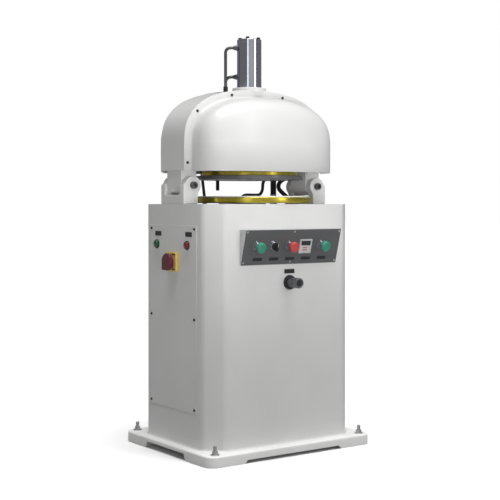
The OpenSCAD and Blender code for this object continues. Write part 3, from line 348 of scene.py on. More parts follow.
def rounded(corners, steps=ARC_STEPS):
    """Points of a closed outline from (x, y, radius) corners, with an arc in each."""
    points = []
    for i, (x, y, radius) in enumerate(corners):
        here = Vector((x, y))
        back = Vector(corners[i - 1][:2]) - here
        on = Vector(corners[(i + 1) % len(corners)][:2]) - here
        if radius <= 0:
            points.append(here)
            continue
        back.normalize()
        on.normalize()
        half = back.angle(on) / 2
        reach = radius / math.tan(half)
        centre = here + (back + on).normalized() * (radius / math.sin(half))
        first = here + back * reach - centre
        last = here + on * reach - centre
        arc = math.atan2(first.x * last.y - first.y * last.x, first.dot(last))
        for k in range(steps + 1):
            cos, sin = math.cos(arc * k / steps), math.sin(arc * k / steps)
            points.append(centre + Vector((first.x * cos - first.y * sin, first.x * sin + first.y * cos)))
    return points


def outline_mm(rows, up=0.0):
    """Rows of radius, height and fillet in metres, from millimetres, raised by a height."""
    return [(radius * MM, height * MM + up, fillet * MM) for radius, height, fillet in rows]


def lathe(form, profile, place, turns):
    """Turns (radius, height) points round the local Z axis; ends on the axis close the form."""
    rings = []
    for radius, height in profile:
        if radius < ON_AXIS:
            rings.append([form.verts.new(place @ Vector((0, 0, height)))])
            continue
        rings.append([form.verts.new(place @ Vector((radius * math.cos(a), radius * math.sin(a), height)))
                      for a in around(turns)])
    for low, high in zip(rings, rings[1:]):
        for k in range(turns):
            n = (k + 1) % turns
            corners = [low[k % len(low)], low[n % len(low)], high[n % len(high)], high[k % len(high)]]
            unique = list(dict.fromkeys(corners))
            if len(unique) > 2:
                form.faces.new(unique)
    return rings


def turned(corners, place, turns=96):
    """A new form turned from a closed (radius, height, fillet) outline."""
    form = bmesh.new()
    outline = rounded(corners, TURNED_ARC_STEPS)
    is_on_axis = [point.x < ON_AXIS for point in outline]
    if any(is_on_axis):
        first = next(i for i in range(len(outline)) if is_on_axis[i] and is_on_axis[i - 1])
        outline = outline[first:] + outline[:first]
    else:
        outline.append(outline[0])
    lathe(form, [(p.x, p.y) for p in outline], place, turns)
    bmesh.ops.remove_doubles(form, verts=form.verts, dist=ON_AXIS)
    return form


def slab_form(outline, height, place, form=None):
    """A flat outline of 2-D points raised along local Z."""
    form = form or bmesh.new()
    low = [form.verts.new(place @ Vector((x, y, 0))) for x, y in outline]
    high = [form.verts.new(place @ Vector((x, y, height))) for x, y in outline]
    form.faces.new(low)
    form.faces.new(high)
    skin(form, [low, high], closed=True)
    return form


def oblong(width, depth, radius, centre=(0, 0)):
    """Outline of a rectangle with rounded corners."""
    x, y = width / 2, depth / 2
    corners = [(-x, -y, radius), (x, -y, radius), (x, y, radius), (-x, y, radius)]
    return [(p.x + centre[0], p.y + centre[1]) for p in rounded(corners)]


def plate_mm(width, depth, radius, thick, place, form=None, centre=(0, 0)):
    """A flat plate with rounded corners, its sizes in millimetres."""
    outline = oblong(width * MM, depth * MM, radius * MM, [c * MM for c in centre])
    return slab_form(outline, thick * MM, place, form)


def smooth_path(points, start, end):
    """A Catmull-Rom line through the points, leaving and arriving along the given headings."""
    ext = [points[0] - start] + points + [points[-1] + end]
    line = []
    for i in range(1, len(ext) - 2):
        p0, p1, p2, p3 = ext[i - 1 : i + 3]
        for k in range(PATH_PARTS):
            t = k / PATH_PARTS
            line.append(0.5 * (2 * p1 + (p2 - p0) * t + (2 * p0 - 5 * p1 + 4 * p2 - p3) * t * t
                               + (3 * p1 - p0 - 3 * p2 + p3) * t ** 3))
    line.append(ext[-2])
    return line


def sweep(form, line, radius):
    """A closed round tube along a line of points, carried without twist."""
    side = (line[1] - line[0]).normalized().orthogonal().normalized()
    rings = []
    for i, point in enumerate(line):
        along = (line[min(i + 1, len(line) - 1)] - line[max(i - 1, 0)]).normalized()
        side = (side - along * side.dot(along)).normalized()
        other = along.cross(side)
        rings.append([form.verts.new(point + radius * (math.cos(a) * side + math.sin(a) * other))
                      for a in around(TUBE_SIDES)])
    skin(form, rings, closed=True)
    form.faces.new(rings[0][::-1])
    form.faces.new(rings[-1])


def facing(origin, outward):
    """A place whose local Z looks outward, local Y as near to upward as it can."""
    z = outward.normalized()
    x = UP.cross(z).normalized()
    y = z.cross(x)
    turn = Matrix((x, y, z)).transposed().to_4x4()
    return Matrix.Translation(Vector(origin)) @ turn


def mid(node):
    """Centre of a node's box."""
    low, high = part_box(node)
    return (low + high) / 2


def upright(node):
    """Radius and height of a round upright node, and the place at its foot."""
    low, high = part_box(node)
    centre = mid(node)
    return (high.x - low.x) / 2, high.z - low.z, Matrix.Translation((centre.x, centre.y, low.z))


def islands(node):
    """Boxes of a CAD node's separate solids, as pairs of corners."""
    form = cad_form(node)
    boxes = []
    waiting = set(form.verts)
    while waiting:
        group = [waiting.pop()]
        for vert in group:
            for edge in vert.link_edges:
                other = edge.other_vert(vert)
                if other in waiting:
                    waiting.remove(other)
                    group.append(other)
        low = Vector([min(v.co[i] for v in group) for i in range(3)])
        high = Vector([max(v.co[i] for v in group) for i in range(3)])
        boxes.append((low, high))
    form.free()
    return sorted(boxes, key=lambda pair: tuple(round(c, 4) for c in (pair[0] + pair[1]) / 2))


# Screw heads: shares of the head's radius and height

SCREW_TURNS = 36
SCREW_WALL = 0.35
SCREW_DOME = [math.radians(12 * k) for k in range(5)]
SOCKET_R = 0.5
SOCKET_SIDES = 6
SOCKET_RIM = 0.98
SOCKET_FLOOR = 0.4


def button_screws(node, outward_of, radius, height):
    """Domed screw heads with a driver's socket, one on each solid of the node."""
    form = bmesh.new()
    sector = 2 * math.pi / SOCKET_SIDES
    for low, high in islands(node):
        centre = (low + high) / 2
        outward = outward_of(centre)
        is_slanted = outward.y * outward.z != 0
        half = height / 2 if is_slanted else abs(outward.dot(high - low)) / 2
        place = facing(centre - outward * half, outward)
        dome = [(radius * math.cos(a), height * (SCREW_WALL + (1 - SCREW_WALL) * math.sin(a)))
                for a in SCREW_DOME]
        rim = lathe(form, [(0, 0), (radius, 0)] + dome, place, SCREW_TURNS)[-1]
        inner = []
        floor = []
        for a in around(SCREW_TURNS):
            flat = radius * SOCKET_R * math.cos(sector / 2)
            reach = flat / math.cos(a % sector - sector / 2)
            for ring, share in ((inner, SOCKET_RIM), (floor, SOCKET_FLOOR)):
                point = Vector((reach * math.cos(a), reach * math.sin(a), height * share))
                ring.append(form.verts.new(place @ point))
        skin(form, [rim, inner, floor], closed=True)
        form.faces.new(floor)
    stand_for(node, form, angle=28)


# Base and cabinet

FOOT_FILLET = 7 * MM
FOOT_ROOT = 1 * MM
FILLET_STEPS = 6
BASE_EDGE = 6 * MM
BASE_EDGE_STEPS = 5
RIM_BAND = 0.1 * MM
SHARP = 1.0
BEND = 32 * MM
CORNER_LEG = 56 * MM
WASHER_R = 15 * MM
SHEET = 3 * MM
# Panels that cover an opening of the cabinet, and how far each laps its wall
OPENINGS = (("control_panel", 16), ("adjuster_flange", 17), ("left_panel", 22), ("rear_panel", 22))


def octagon(grow):
    """Outline of the cabinet, grown outwards by a distance."""
    _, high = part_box("cabinet_shell")
    x, y = high.x + grow, high.y + grow
    leg = CORNER_LEG + grow * (2 - math.sqrt(2))
    bend = BEND + grow
    return rounded([(-x, leg - y, bend), (leg - x, -y, bend), (x - leg, -y, bend), (x, leg - y, bend),
                    (x, y - leg, bend), (x - leg, y, bend), (leg - x, y, bend), (-x, y - leg, bend)])


def base_plate():
    """The base with a broad round along its upper rim, kept clear of the stud holes."""
    form = cad_form("base_plate")
    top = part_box("base_plate")[1].z
    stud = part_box("levelling_feet")[1] - Vector((WASHER_R, WASHER_R, 0))
    rim = []
    for edge in form.edges:
        a, b = (v.co for v in edge.verts)
        centre = (a + b) / 2
        off_stud = (Vector((abs(centre.x), abs(centre.y))) - stud.xy).length
        is_upper = min(a.z, b.z) > top - RIM_BAND
        if is_upper and off_stud > WASHER_R and edge.calc_face_angle(0) > SHARP:
            rim.append(edge)
    bmesh.ops.bevel(form, geom=rim, offset=BASE_EDGE, segments=BASE_EDGE_STEPS, profile=0.5, affect="EDGES")
    soften(stand_for("base_plate", form), 1.2, 2, 60)


def opening(node, lap):
    """Box of the hole in the cabinet's wall behind a panel, which laps the wall round it."""
    low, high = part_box(node)
    inset = Vector((lap, lap, lap)) * MM
    inset[0 if high.x - low.x < high.y - low.y else 1] = -2 * SHEET
    return low + inset, high - inset


def shell_outline(grow, openings):
    """The cabinet's outline, with a point wherever the edge of an opening crosses it."""
    corners = octagon(grow)
    points = []
    for p, q in zip(corners, corners[1:] + corners[:1]):
        points.append(p)
        run = 0 if abs(q.x - p.x) > abs(q.y - p.y) else 1
        across = 1 - run
        marks = [edge[run] for box in openings for edge in box
                 if box[0][across] < p[across] < box[1][across]
                 and min(p[run], q[run]) < edge[run] < max(p[run], q[run])]
        for mark in sorted(marks, reverse=q[run] < p[run]):
            point = p.copy()
            point[run] = mark
            points.append(point)
    return points


def shell_form():
    """The folded sheet: two walls over one grid, joined at both ends and round the openings."""
    low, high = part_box("cabinet_shell")
    openings = [opening(node, lap) for node, lap in OPENINGS]
    levels = sorted({round(z, 5) for z in [low.z, high.z] + [edge.z for box in openings for edge in box]})
    form = bmesh.new()
    outer, inner = ([[form.verts.new((p.x, p.y, z)) for z in levels] for p in shell_outline(grow, openings)]
                    for grow in (0, -SHEET))
    count = len(outer)
    tiers = len(levels) - 1

    def is_open(i, j):
        centre = (outer[i % count][j].co + outer[(i + 1) % count][j + 1].co) / 2
        return any(all(box[0][k] < centre[k] < box[1][k] for k in range(3)) for box in openings)

    for i in range(count):
        n = (i + 1) % count
        for j in range(tiers):
            if is_open(i, j):
                continue
            for wall in (outer, inner):
                form.faces.new([wall[i][j], wall[n][j], wall[n][j + 1], wall[i][j + 1]])
            borders = ((i - 1, j, i, j, i, j + 1), (i + 1, j, n, j, n, j + 1),
                       (i, j - 1, i, j, n, j), (i, j + 1, i, j + 1, n, j + 1))
            for beside, tier, a, b, c, d in borders:
                if not 0 <= tier < tiers or is_open(beside, tier):
                    form.faces.new([outer[a][b], outer[c][d], inner[c][d], inner[a][b]])
    return form


def cabinet():
    """The folded shell and the bead that closes its foot on the base."""
    soften(stand_for("cabinet_shell", shell_form()), 0.8, 2, 60)
    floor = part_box("base_plate")[1].z
    steps = [(FOOT_FILLET * (1 - math.cos(t)), FOOT_FILLET * (1 - math.sin(t)))
             for t in quarter(FILLET_STEPS)]
    steps.append((-FOOT_ROOT, -FOOT_ROOT))
    bead = bmesh.new()
    rings = [[bead.verts.new((p.x, p.y, floor + up)) for p in octagon(grow)] for grow, up in steps]
    skin(bead, rings + rings[:1], closed=True)
    fit_on("foot_bead", "cabinet", bead, "white_paint", 60)


# Panel screws and rear louvres

LEFT_SCREWS = -200 * MM
LOUVRE_COUNT = 9
LOUVRE_PITCH = 26 * MM
LOUVRE_H = 8 * MM
LOUVRE_W = 112 * MM
LOUVRE_X = 65 * MM
LOUVRE_OUT = 7 * MM
HOOD_ROWS = 6
HOOD_COLUMNS = 16
HOOD_RISE = 2.2 * LOUVRE_H
HOOD_ENDS = 0.4
HOOD_T = 1.2 * MM


def panel_outward(centre):
    """Which way a panel screw looks: to the left on the left panel, else to the rear."""
    return LEFT if centre.x < LEFT_SCREWS else -FRONT


def louvre_hoods():
    """Pressed hoods over the rear panel's slots."""
    panel = mid("rear_panel")
    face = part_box("rear_panel")[1].y
    form = bmesh.new()
    for side in (-1, 1):
        for i in range(LOUVRE_COUNT):
            foot = panel.z + (i - (LOUVRE_COUNT - 1) / 2) * LOUVRE_PITCH - LOUVRE_H / 2
            rows = []
            for k in range(HOOD_ROWS + 1):
                t = k / HOOD_ROWS
                out = LOUVRE_OUT * math.sin(math.pi / 2 * (1 - t))
                row = []
                for j in range(HOOD_COLUMNS + 1):
                    u = 2 * j / HOOD_COLUMNS - 1
                    swell = (1 - u ** 4) ** 0.5
                    rise = HOOD_RISE * t * (HOOD_ENDS + (1 - HOOD_ENDS) * swell)
                    x = side * LOUVRE_X + u * LOUVRE_W / 2
                    row.append(form.verts.new((x, face + out * swell, foot + rise)))
                rows.append(row)
            skin(form, rows)
    thicken(fit_on("rear_louvres", "cabinet", form, "white_paint", 60), HOOD_T, 0)


# Side controls

BEZEL_WALL = 2 * MM
BEZEL_LIP = 1.2 * MM
BEZEL_SIDE = 0.55
LENS_SIDE = 0.5
LENS_STEPS = 12
LENS_TURNS = 64
SLOT_FROM_EDGE = 15 * MM
SLOT_UP = 25 * MM
SLOT_PROUD = 0.2 * MM


def on_left(low, high):
    """Radius and depth of a round piece on the cabinet's left side, and its place there."""
    centre = (low + high) / 2
    return (high.z - low.z) / 2, high.x - low.x, facing((high.x, centre.y, centre.z), LEFT)


def side_controls():
    """Signal lamps and the main switch."""
    bezels = bmesh.new()
    for low, high in islands("lamp_bezels"):
        radius, depth, place = on_left(low, high)
        bore_r = radius - BEZEL_WALL
        ring = turned([(bore_r, 0, 0), (radius, 0, 0), (radius, depth * BEZEL_SIDE, 1 * MM),
                       (radius - BEZEL_LIP, depth, 0.8 * MM), (bore_r, depth, 0)], place)
        merge(bezels, ring)
        ring.free()
    stand_for("lamp_bezels", bezels)
    for node in ("green_lamp", "red_lamp"):
        radius, depth, place = on_left(*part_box(node))
        dome = [(radius * math.cos(a), depth * (LENS_SIDE + (1 - LENS_SIDE) * math.sin(a)))
                for a in quarter(LENS_STEPS)]
        dome[-1] = (0, depth)
        form = bmesh.new()
        lathe(form, [(0, 0), (radius, 0)] + dome, place, LENS_TURNS)
        stand_for(node, form)
    dress("switch_plate", 2, 4)
    low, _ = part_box("switch_plate")
    slots = bmesh.new()
    for side in (-1, 1):
        height = mid("switch_plate").z + side * SLOT_UP
        place = facing((low.x - SLOT_PROUD, low.y + SLOT_FROM_EDGE, height), LEFT)
        plate_mm(16, 5, 1, 0.5, place, slots)
    fit_on("switch_slots", "cabinet", slots, "black_plastic")
    dress("switch_knob", 3, 5)


# Control panel: outlines are rows of radius, height and fillet in millimetres

INWARD = Vector(next(j["axis"] for j in frame["joints"] if j["name"] == "stop_press"))
CONSOLE_OUT = -INWARD.normalized()
FASCIA_T = 0.6 * MM
FASCIA_RIM = 3 * MM
FASCIA_CORNER = 3 * MM
COLLAR_H = 12
COLLAR = ((11.1, 0, 0), (15, 0, 0), (15, 3, 0.6), (14, 3.6, 0.3), (13.6, COLLAR_H, 1.4),
          (11.1, COLLAR_H, 0.3))
COLLAR_TURNS = 72
CAP = ((0, -18, 0), (11, -18, 0.5), (11, 18.5, 0.5), (17, 18.5, 1.2), (18, 22.5, 2), (18, 33.5, 3),
       (14, 35.9, 5), (0, 36.5, 0))
MARK_UP = 30.9 * MM
KEYS_UP = 0.4 * MM


def console():
    """The wedge-shaped panel with its fascia, buttons, selector and timer."""
    dress("control_panel", 1.2, 3, slot="grey_plastic")
    low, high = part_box("control_panel")
    face = facing((mid("control_panel").x, low.y, high.z), CONSOLE_OUT)
    upward = face.col[1].xyz
    slope = (high.z - low.z) / upward.z
    face.translation -= upward * slope / 2
    outline = oblong(high.x - low.x - FASCIA_RIM, slope - FASCIA_RIM, FASCIA_CORNER)
    fascia = slab_form(outline, FASCIA_T, face)
    soften(fit_on("control_panel_fascia", "cabinet", fascia, "console_paint"), 0.2, 2)
    button_screws("control_panel_screws", lambda centre: CONSOLE_OUT, 4 * MM, 2.5 * MM)
    collars = bmesh.new()
    profile = [(p.x, p.y) for p in rounded(outline_mm(COLLAR))]
    places = []
    for low, high in islands("button_collars"):
        foot = (low + high) / 2 - CONSOLE_OUT * COLLAR_H * MM / 2
        places.append(facing(foot, CONSOLE_OUT))
        lathe(collars, profile + profile[:1], places[-1], COLLAR_TURNS)
    bmesh.ops.remove_doubles(collars, verts=collars.verts, dist=WELD)
    stand_for("button_collars", collars)
    left, selector, stop, right = places
    for node, place in (("start_button_left", left), ("stop_button", stop), ("start_button_right", right)):
        stand_for(node, turned(outline_mm(CAP), place), angle=40)
    dress("selector_knob", 1)
    mark = plate_mm(1.8, 10, 0.6, 0.3, selector @ Matrix.Translation((0, 0, MARK_UP)), centre=(0, 7))
    fit_on("selector_mark", "selector", mark, "white_plastic")
    dress("timer_case", 0.35, pierced=True)
    dress("timer_display", 0.2, 2)
    dress("timer_keypad", 0.2, 2, slot="grey_plastic")
    keys = bmesh.new()
    keypad = facing(mid("timer_keypad") + CONSOLE_OUT * KEYS_UP, CONSOLE_OUT)
    for row in (-1, 1):
        plate_mm(20, 3.4, 1, 0.9, keypad, keys, (-3, row * 4))
    soften(fit_on("timer_keys", "cabinet", keys, "red_button"), 0.3, 2)
    dress("label_plates", 0.25, 2)


# Adjusting knob: its body's and face's rows of radius, height and fillet run down from the tip

SPINDLE_BORE = 7.1 * MM
FLANGE_EDGE = 2 * MM
FLANGE_SLOPE = 3 * MM
KNOB_GAP = 1 * MM
KNOB_LEN = 50 * MM
KNOB_STEM = ((0, -40, 0), (7, -40, 0))
KNOB_BACK = ((7, 0, 0), (16.5, 0, 1))
KNOB_BODY = ((16.5, -29, 1), (14, -28, 0.8), (14, -24, 0.8), (17.5, -23, 1), (17.5, 0, 2), (12.5, 0, 1),
             (12, -3, 0.5), (0, -3, 0))
KNOB_FACE = ((0, -3, 0), (11, -3, 0.2), (10.5, -1.6, 0.6), (4, -1.6, 0.5), (3.4, -2.4, 0.3), (0, -2.4, 0))


def adjuster():
    """The round knob under the control panel, with its flange."""
    low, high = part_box("adjuster_flange")
    radius = (high.x - low.x) / 2
    depth = high.y - low.y
    centre = mid("adjuster_flange")
    place = facing((centre.x, high.y, centre.z), FRONT)
    ring = turned([(SPINDLE_BORE, 0, 0), (radius, 0, 0), (radius, depth - FLANGE_EDGE, 1 * MM),
                   (radius - FLANGE_SLOPE, depth, 1.5 * MM), (SPINDLE_BORE, depth, 0)], place)
    stand_for("adjuster_flange", ring)
    back = depth + KNOB_GAP
    tip = back + KNOB_LEN
    outline = outline_mm(KNOB_STEM) + outline_mm(KNOB_BACK, back) + outline_mm(KNOB_BODY, tip)
    stand_for("adjusting_knob", turned(outline, place))
    fit_on("knob_face", "adjuster", turned(outline_mm(KNOB_FACE, tip), place), "black_plastic")


# Head

ARCH_SPRING = 95 * MM
ARCH_POWER = 2.45
ARCH_T = 14 * MM
ARCH_STEPS = 96
ARCH_EDGE = 3 * MM
ARCH_INNER = ARCH_EDGE / 2
FOOT_REACH = 81 * MM
FOOT_H = 35 * MM
HAIR = 0.01 * MM
CROWN_HALF = 75 * MM
COVER_T = 3 * MM
COVER_DROP = 4 * MM
# The flange's rim, as insets and heights in millimetres from the seat
COVER_RIM = ((0, 0), (0, 2), (0.4, 2.7), (1.2, 3))
FLANGE = 27 * MM
REAR_INSET = 14 * MM
REAR_POWER = 2.08
DOME_POWER = 3.2
DOME_FILLET = 11 * MM
DOME_START = COVER_T + 1.3 * DOME_FILLET
DOME_END = math.radians(89.4)
DOME_RINGS = 44
DOME_CROWDING = 1.6


def bent(cosine, power):
    """A cosine or sine bent for a superellipse of the given power."""
    return math.copysign(abs(cosine) ** (2 / power), cosine)


def arch_line(half, rise, spring, foot, power):
    """The arch's line in X and Z: an upright leg, a superellipse and another leg."""
    line = [(-half, foot)]
    for i in range(ARCH_STEPS + 1):
        a = math.pi * (1 - i / ARCH_STEPS)
        line.append((half * bent(math.cos(a), power), spring + rise * bent(math.sin(a), power)))
    line.append((half, foot))
    return line


def arch_leg(half, front, rear, foot):
    """The right leg's barrel and neck, which runs up into the block at the arch's foot."""
    form = clipped("head_arch", [((0, 0, foot - HAIR), UP), ((0, 0, 0), LEFT)])
    for vert in form.verts:
        if vert.co.z > foot - 2 * HAIR:
            vert.co.z += ARCH_EDGE
    length = FOOT_REACH - ARCH_T + ARCH_EDGE
    depth = rear - front - 2 * ARCH_INNER
    centre = (half - FOOT_REACH + length / 2, (front + rear) / 2)
    return slab_form(oblong(length, depth, 0, centre), FOOT_H, Matrix.Translation((0, 0, foot)), form)


def head_arch():
    """The bent band with a leg at each side, and the crown that the cylinder stands on."""
    low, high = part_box("front_cover")
    half = high.x
    front = high.y
    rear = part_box("rear_cover")[0].y
    foot = low.z + COVER_DROP
    spring = foot + ARCH_SPRING
    rise = high.z - spring
    form = bmesh.new()
    section = rounded([(front, 0, 0), (rear, 0, 0), (rear, ARCH_T, ARCH_EDGE), (front, ARCH_T, ARCH_EDGE)])
    rings = []
    for y, inset in [(p.x, p.y) for p in section] + [(front, 0)]:
        line = arch_line(half - inset, rise - inset, spring, foot, ARCH_POWER)
        rings.append([form.verts.new((x, y, z)) for x, z in line])
    skin(form, rings)
    bmesh.ops.remove_doubles(form, verts=form.verts, dist=WELD)
    bmesh.ops.holes_fill(form, edges=[e for e in form.edges if e.is_boundary])
    leg = arch_leg(half, front, rear, foot)
    for _ in range(2):
        bmesh.ops.recalc_face_normals(leg, faces=leg.faces)
        merge(form, leg)
        bmesh.ops.scale(leg, vec=(-1, 1, 1), verts=leg.verts)
    leg.free()
    soften(stand_for("head_arch", form, angle=40), 2, 3, 50)
    crown = clipped("head_arch", [((CROWN_HALF, 0, 0), -LEFT), ((-CROWN_HALF, 0, 0), LEFT),
                                  ((0, front + ARCH_INNER, 0), FRONT), ((0, rear - ARCH_INNER, 0), -FRONT)])
    fit_on("head_crown", "cabinet", crown, "white_paint")


def cover_rings(flange, half, rise, reach):
    """Half width, rise and reach of a cover's rings: flange, fillet and superellipsoid."""
    steps = [(inset * MM, out * MM) for inset, out in COVER_RIM]
    steps += [(flange - DOME_FILLET * (1 - math.sin(t)), COVER_T + DOME_FILLET * (1 - math.cos(t)))
              for t in quarter(FILLET_STEPS)]
    rings = [(half - inset, rise - inset, out) for inset, out in steps]
    first = math.asin((DOME_START / reach) ** (DOME_POWER / 2))
    for k in range(DOME_RINGS):
        share = 1 - (1 - k / (DOME_RINGS - 1)) ** DOME_CROWDING
        a = first + (DOME_END - first) * share
        size = math.cos(a) ** (2 / DOME_POWER)
        out = reach * math.sin(a) ** (2 / DOME_POWER)
        rings.append(((half - flange) * size, (rise - flange) * size, out))
    return rings


def cover(node, flange, power, outward):
    """A dome of one drawn sheet, its rings along the arch's line."""
    low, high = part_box(node)
    seat = high.y if outward < 0 else low.y
    spring = low.z + COVER_DROP + ARCH_SPRING
    form = bmesh.new()
    grid = []
    for wide, tall, out in cover_rings(flange, high.x, high.z - spring, high.y - low.y):
        line = arch_line(wide, tall, spring, low.z, power)
        grid.append([form.verts.new((x, seat + outward * out, z)) for x, z in line])
    skin(form, grid)
    last = grid[-1]
    for k in range(len(last) // 2 - 1):
        form.faces.new([last[k], last[k + 1], last[-2 - k], last[-1 - k]])
    bmesh.ops.remove_doubles(form, verts=form.verts, dist=WELD)
    bmesh.ops.recalc_face_normals(form, faces=form.faces)
    tip = max(form.faces, key=lambda face: outward * face.calc_center_median().y)
    if tip.normal.y * outward < 0:
        bmesh.ops.reverse_faces(form, faces=form.faces)
    thicken(stand_for(node, form, angle=60), COVER_T, -1)


def head():
    """The arch, its covers and what carries it."""
    head_arch()
    cover("front_cover", FLANGE, ARCH_POWER, -1)
    cover("rear_cover", FLANGE + REAR_INSET, REAR_POWER, 1)
    button_screws("cover_screws", lambda centre: FRONT if centre.y < 0 else -FRONT, 5 * MM, 4 * MM)
    for node in ("left_yoke", "right_yoke"):
        dress(node, 2.2, 4)
    dress("pivot_pins", 1.0)
    dress("head_manifold", 1.5)
    stand_for("stop_rod", solid("stop_rod"))


# Cylinder, pipes and hoses

FINE_TURNS = 160
COLLAR_SUNK = 5 * MM
COLLAR_BORE = 20.1 * MM
BARREL_BORE = 35 * MM
BARREL_LIP = 0.6 * MM
# Each oil pipe: its place beside the cylinder and its height above the barrel's foot
PIPES = (((-76, 26), 144), ((-62, 46), 42))
PIPE_NUT = ((0, -3, 0), (10, -3, 0), (10, 2, 1), (6.6, 14, 0.8), (0, 14, 0))
NUT_TURNS = 48


def bore(node):
    """Radius of the hole through a ring."""
    axis = mid(node).xy
    return min((v.co.xy - axis).length for v in NODES[node].data.vertices)


def ring_of(node, inner, fillet):
    """A turned ring with the node's outer size, its height and the given bore radius."""
    radius, height, place = upright(node)
    outline = [(inner, 0, 0), (radius, 0, fillet), (radius, height, fillet), (inner, height, 0)]
    stand_for(node, turned(outline, place, FINE_TURNS))


def cylinder():
    """The press cylinder with its collar, cap, bolts and oil pipes."""
    radius, height, place = upright("cylinder_collar")
    outline = [(COLLAR_BORE, -COLLAR_SUNK, 0), (radius, -COLLAR_SUNK, 0), (radius, height, 3 * MM),
               (COLLAR_BORE, height, 0)]
    stand_for("cylinder_collar", turned(outline, place, FINE_TURNS))
    ring_of("cylinder_barrel", BARREL_BORE, BARREL_LIP)
    radius, _, barrel = upright("cylinder_barrel")
    _, height, place = upright("cylinder_cap")
    outline = [(0, 0, 0), (radius, 0, BARREL_LIP), (radius, height, 2 * MM), (0, height, 0)]
    stand_for("cylinder_cap", turned(outline, place, FINE_TURNS), "chrome")
    dress("cylinder_bolts", 0.8)
    dress("oil_pipes", 0.2, 1, slot="pin_steel")
    dress("fittings", 0.5, 2, True)
    axis = barrel.translation
    profile = [(p.x, p.y) for p in rounded(outline_mm(PIPE_NUT))]
    nuts = bmesh.new()
    for (x, y), up in PIPES:
        outward = Vector((x * MM - axis.x, y * MM - axis.y, 0)).normalized()
        foot = axis + UP * up * MM + outward * radius
        lathe(nuts, profile, facing(foot, outward), NUT_TURNS)
    fit_on("pipe_nuts", "cabinet", nuts, "pin_steel")


# Each hose: radius, foot on the deck, and the points of its route above the fitting there
HOSES = (
    (5.5, (-35, 225.5), ((0, 0, 0), (-6, 0, 45), (-12, 0, 90), (-16, 0, 135), (-18, -8, 200),
                         (-18, -28, 262), (-18, -64, 298), (-18, -96, 315), (-18, -125.5, 320))),
    (11, (214, 134), ((0, 0, 0), (0, 0, 60), (0, 0, 120), (-6, 2, 190), (-36, 6, 250), (-90, 2, 296),
                      (-140, -8, 316), (-168, -20, 320), (-170, -34, 320))),
    (8, (280, 130), ((0, 0, 0), (-4, 0, 12), (-24, 0, 27), (-41, 0, 42), (-45, -1, 57), (-38, -4, 71),
                     (-26, -11, 80), (-18, -21, 84), (-18, -30, 84))),
    (6, (130, 225), ((0, 0, 0), (4, 0, 12), (20, 0, 20), (60, 0, 20), (84, 0, 22), (96, 0, 34),
                     (100, 0, 50), (100, -2, 65), (101, -13, 79), (103, -38, 85), (106, -68, 86),
                     (109, -98, 86), (110, -112, 86), (110, -125, 86))),
)
FITTING_H = 14 * MM
HOSE_LEAD = 20 * MM
SLEEVE_T = 1.2
SLEEVE_PARTS = 4


def hoses():
    """The hoses behind the working gap, each with a sleeve at its foot."""
    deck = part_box("cabinet_shell")[1].z + FITTING_H
    form = bmesh.new()
    sleeves = bmesh.new()
    for radius, foot, route in HOSES:
        start = Vector((foot[0] * MM, foot[1] * MM, deck))
        points = [start + Vector(p) * MM for p in route]
        sweep(form, smooth_path(points, UP * HOSE_LEAD, FRONT * HOSE_LEAD), radius * MM)
        top = points[0] + UP * 2 * radius * MM
        sleeve = [points[0].lerp(top, k / SLEEVE_PARTS) for k in range(SLEEVE_PARTS + 1)]
        sweep(sleeves, sleeve, (radius + SLEEVE_T) * MM)
    stand_for("rear_hoses", form)
    soften(fit_on("hose_sleeves", "cabinet", sleeves, "zinc"), 0.6, 2)


# Press, table and drive

TABLE_RIM_T = 8 * MM
PLATE_RIM = 6 * MM
PLATE_DISH = 0.8 * MM
DISH_EDGE = 8 * MM
DRIVE = ("crank_shaft", "crank_pulley", "idle_crank", "bearing_housings", "motor_shelf", "drive_motor",
         "motor_pulley", "drive_belt", "oil_tank", "pump_unit")


def press():
    """The press with its pads, rings and the knife grid."""
    dress("press_rod", 0.8)
    dress("press_plate", 1.5)
    dress("press_pads", 1.0)
    soften(stand_for("knife_grid", solid("knife_grid")), 0.2, 2)
    ring_of("guard_ring", bore("guard_ring"), 1 * MM)
    ring_of("press_ring", bore("press_ring"), 2 * MM)


def table():
    """The table, its brass rim and the dough plate."""
    dress("table_disc", 1.0)
    ring_of("table_rim", upright("table_rim")[0] - TABLE_RIM_T, 2 * MM)
    radius, height, place = upright("dough_plate")
    dish = height - PLATE_DISH
    outline = [(0, 0, 0), (radius, 0, 0.5 * MM), (radius, height, 1.6 * MM),
               (radius - PLATE_RIM, height, 2 * MM), (radius - DISH_EDGE, dish, 2 * MM), (0, dish, 0)]
    stand_for("dough_plate", turned(outline, place, FINE_TURNS))


def drive():
    """The crank drive, motor, oil tank and pump inside the cabinet."""
    for node in DRIVE:
        dress(node, 1.0, 2)


# Floor and light

FLOOR_HALF = 30.0
FLOOR_PARTS = 8
FLOOR_WHITE = 0.98
FLOOR_BOUNCE = 0.32
CEILING = 3.1
CEILING_SPREAD = math.radians(40)
CEILING_TILT = math.radians(6)
ROOM = 0.17
ROOM_FRONT = 0.46
FRONT_WAY = (-0.264, -0.965, 0)
FRONT_EDGES = (0.72, 0.97)


def add_floor():
    """A white floor that throws back less light than it shows."""
    form = bmesh.new()
    bmesh.ops.create_grid(form, x_segments=FLOOR_PARTS, y_segments=FLOOR_PARTS, size=FLOOR_HALF)
    mesh = bpy.data.meshes.new("floor")
    form.to_mesh(mesh)
    form.free()
    shader = Shader("floor", Specular_IOR_Level=0.1)
    shader.colour(shader.is_seen(), (FLOOR_BOUNCE,) * 3, (FLOOR_WHITE,) * 3)
    shader.roughness(shader.noise(scale=6, detail=2), 0.75, 0.85)
    mesh.materials.append(shader.material)
    floor = bpy.data.objects.new("floor", mesh)
    bpy.context.scene.collection.objects.link(floor)


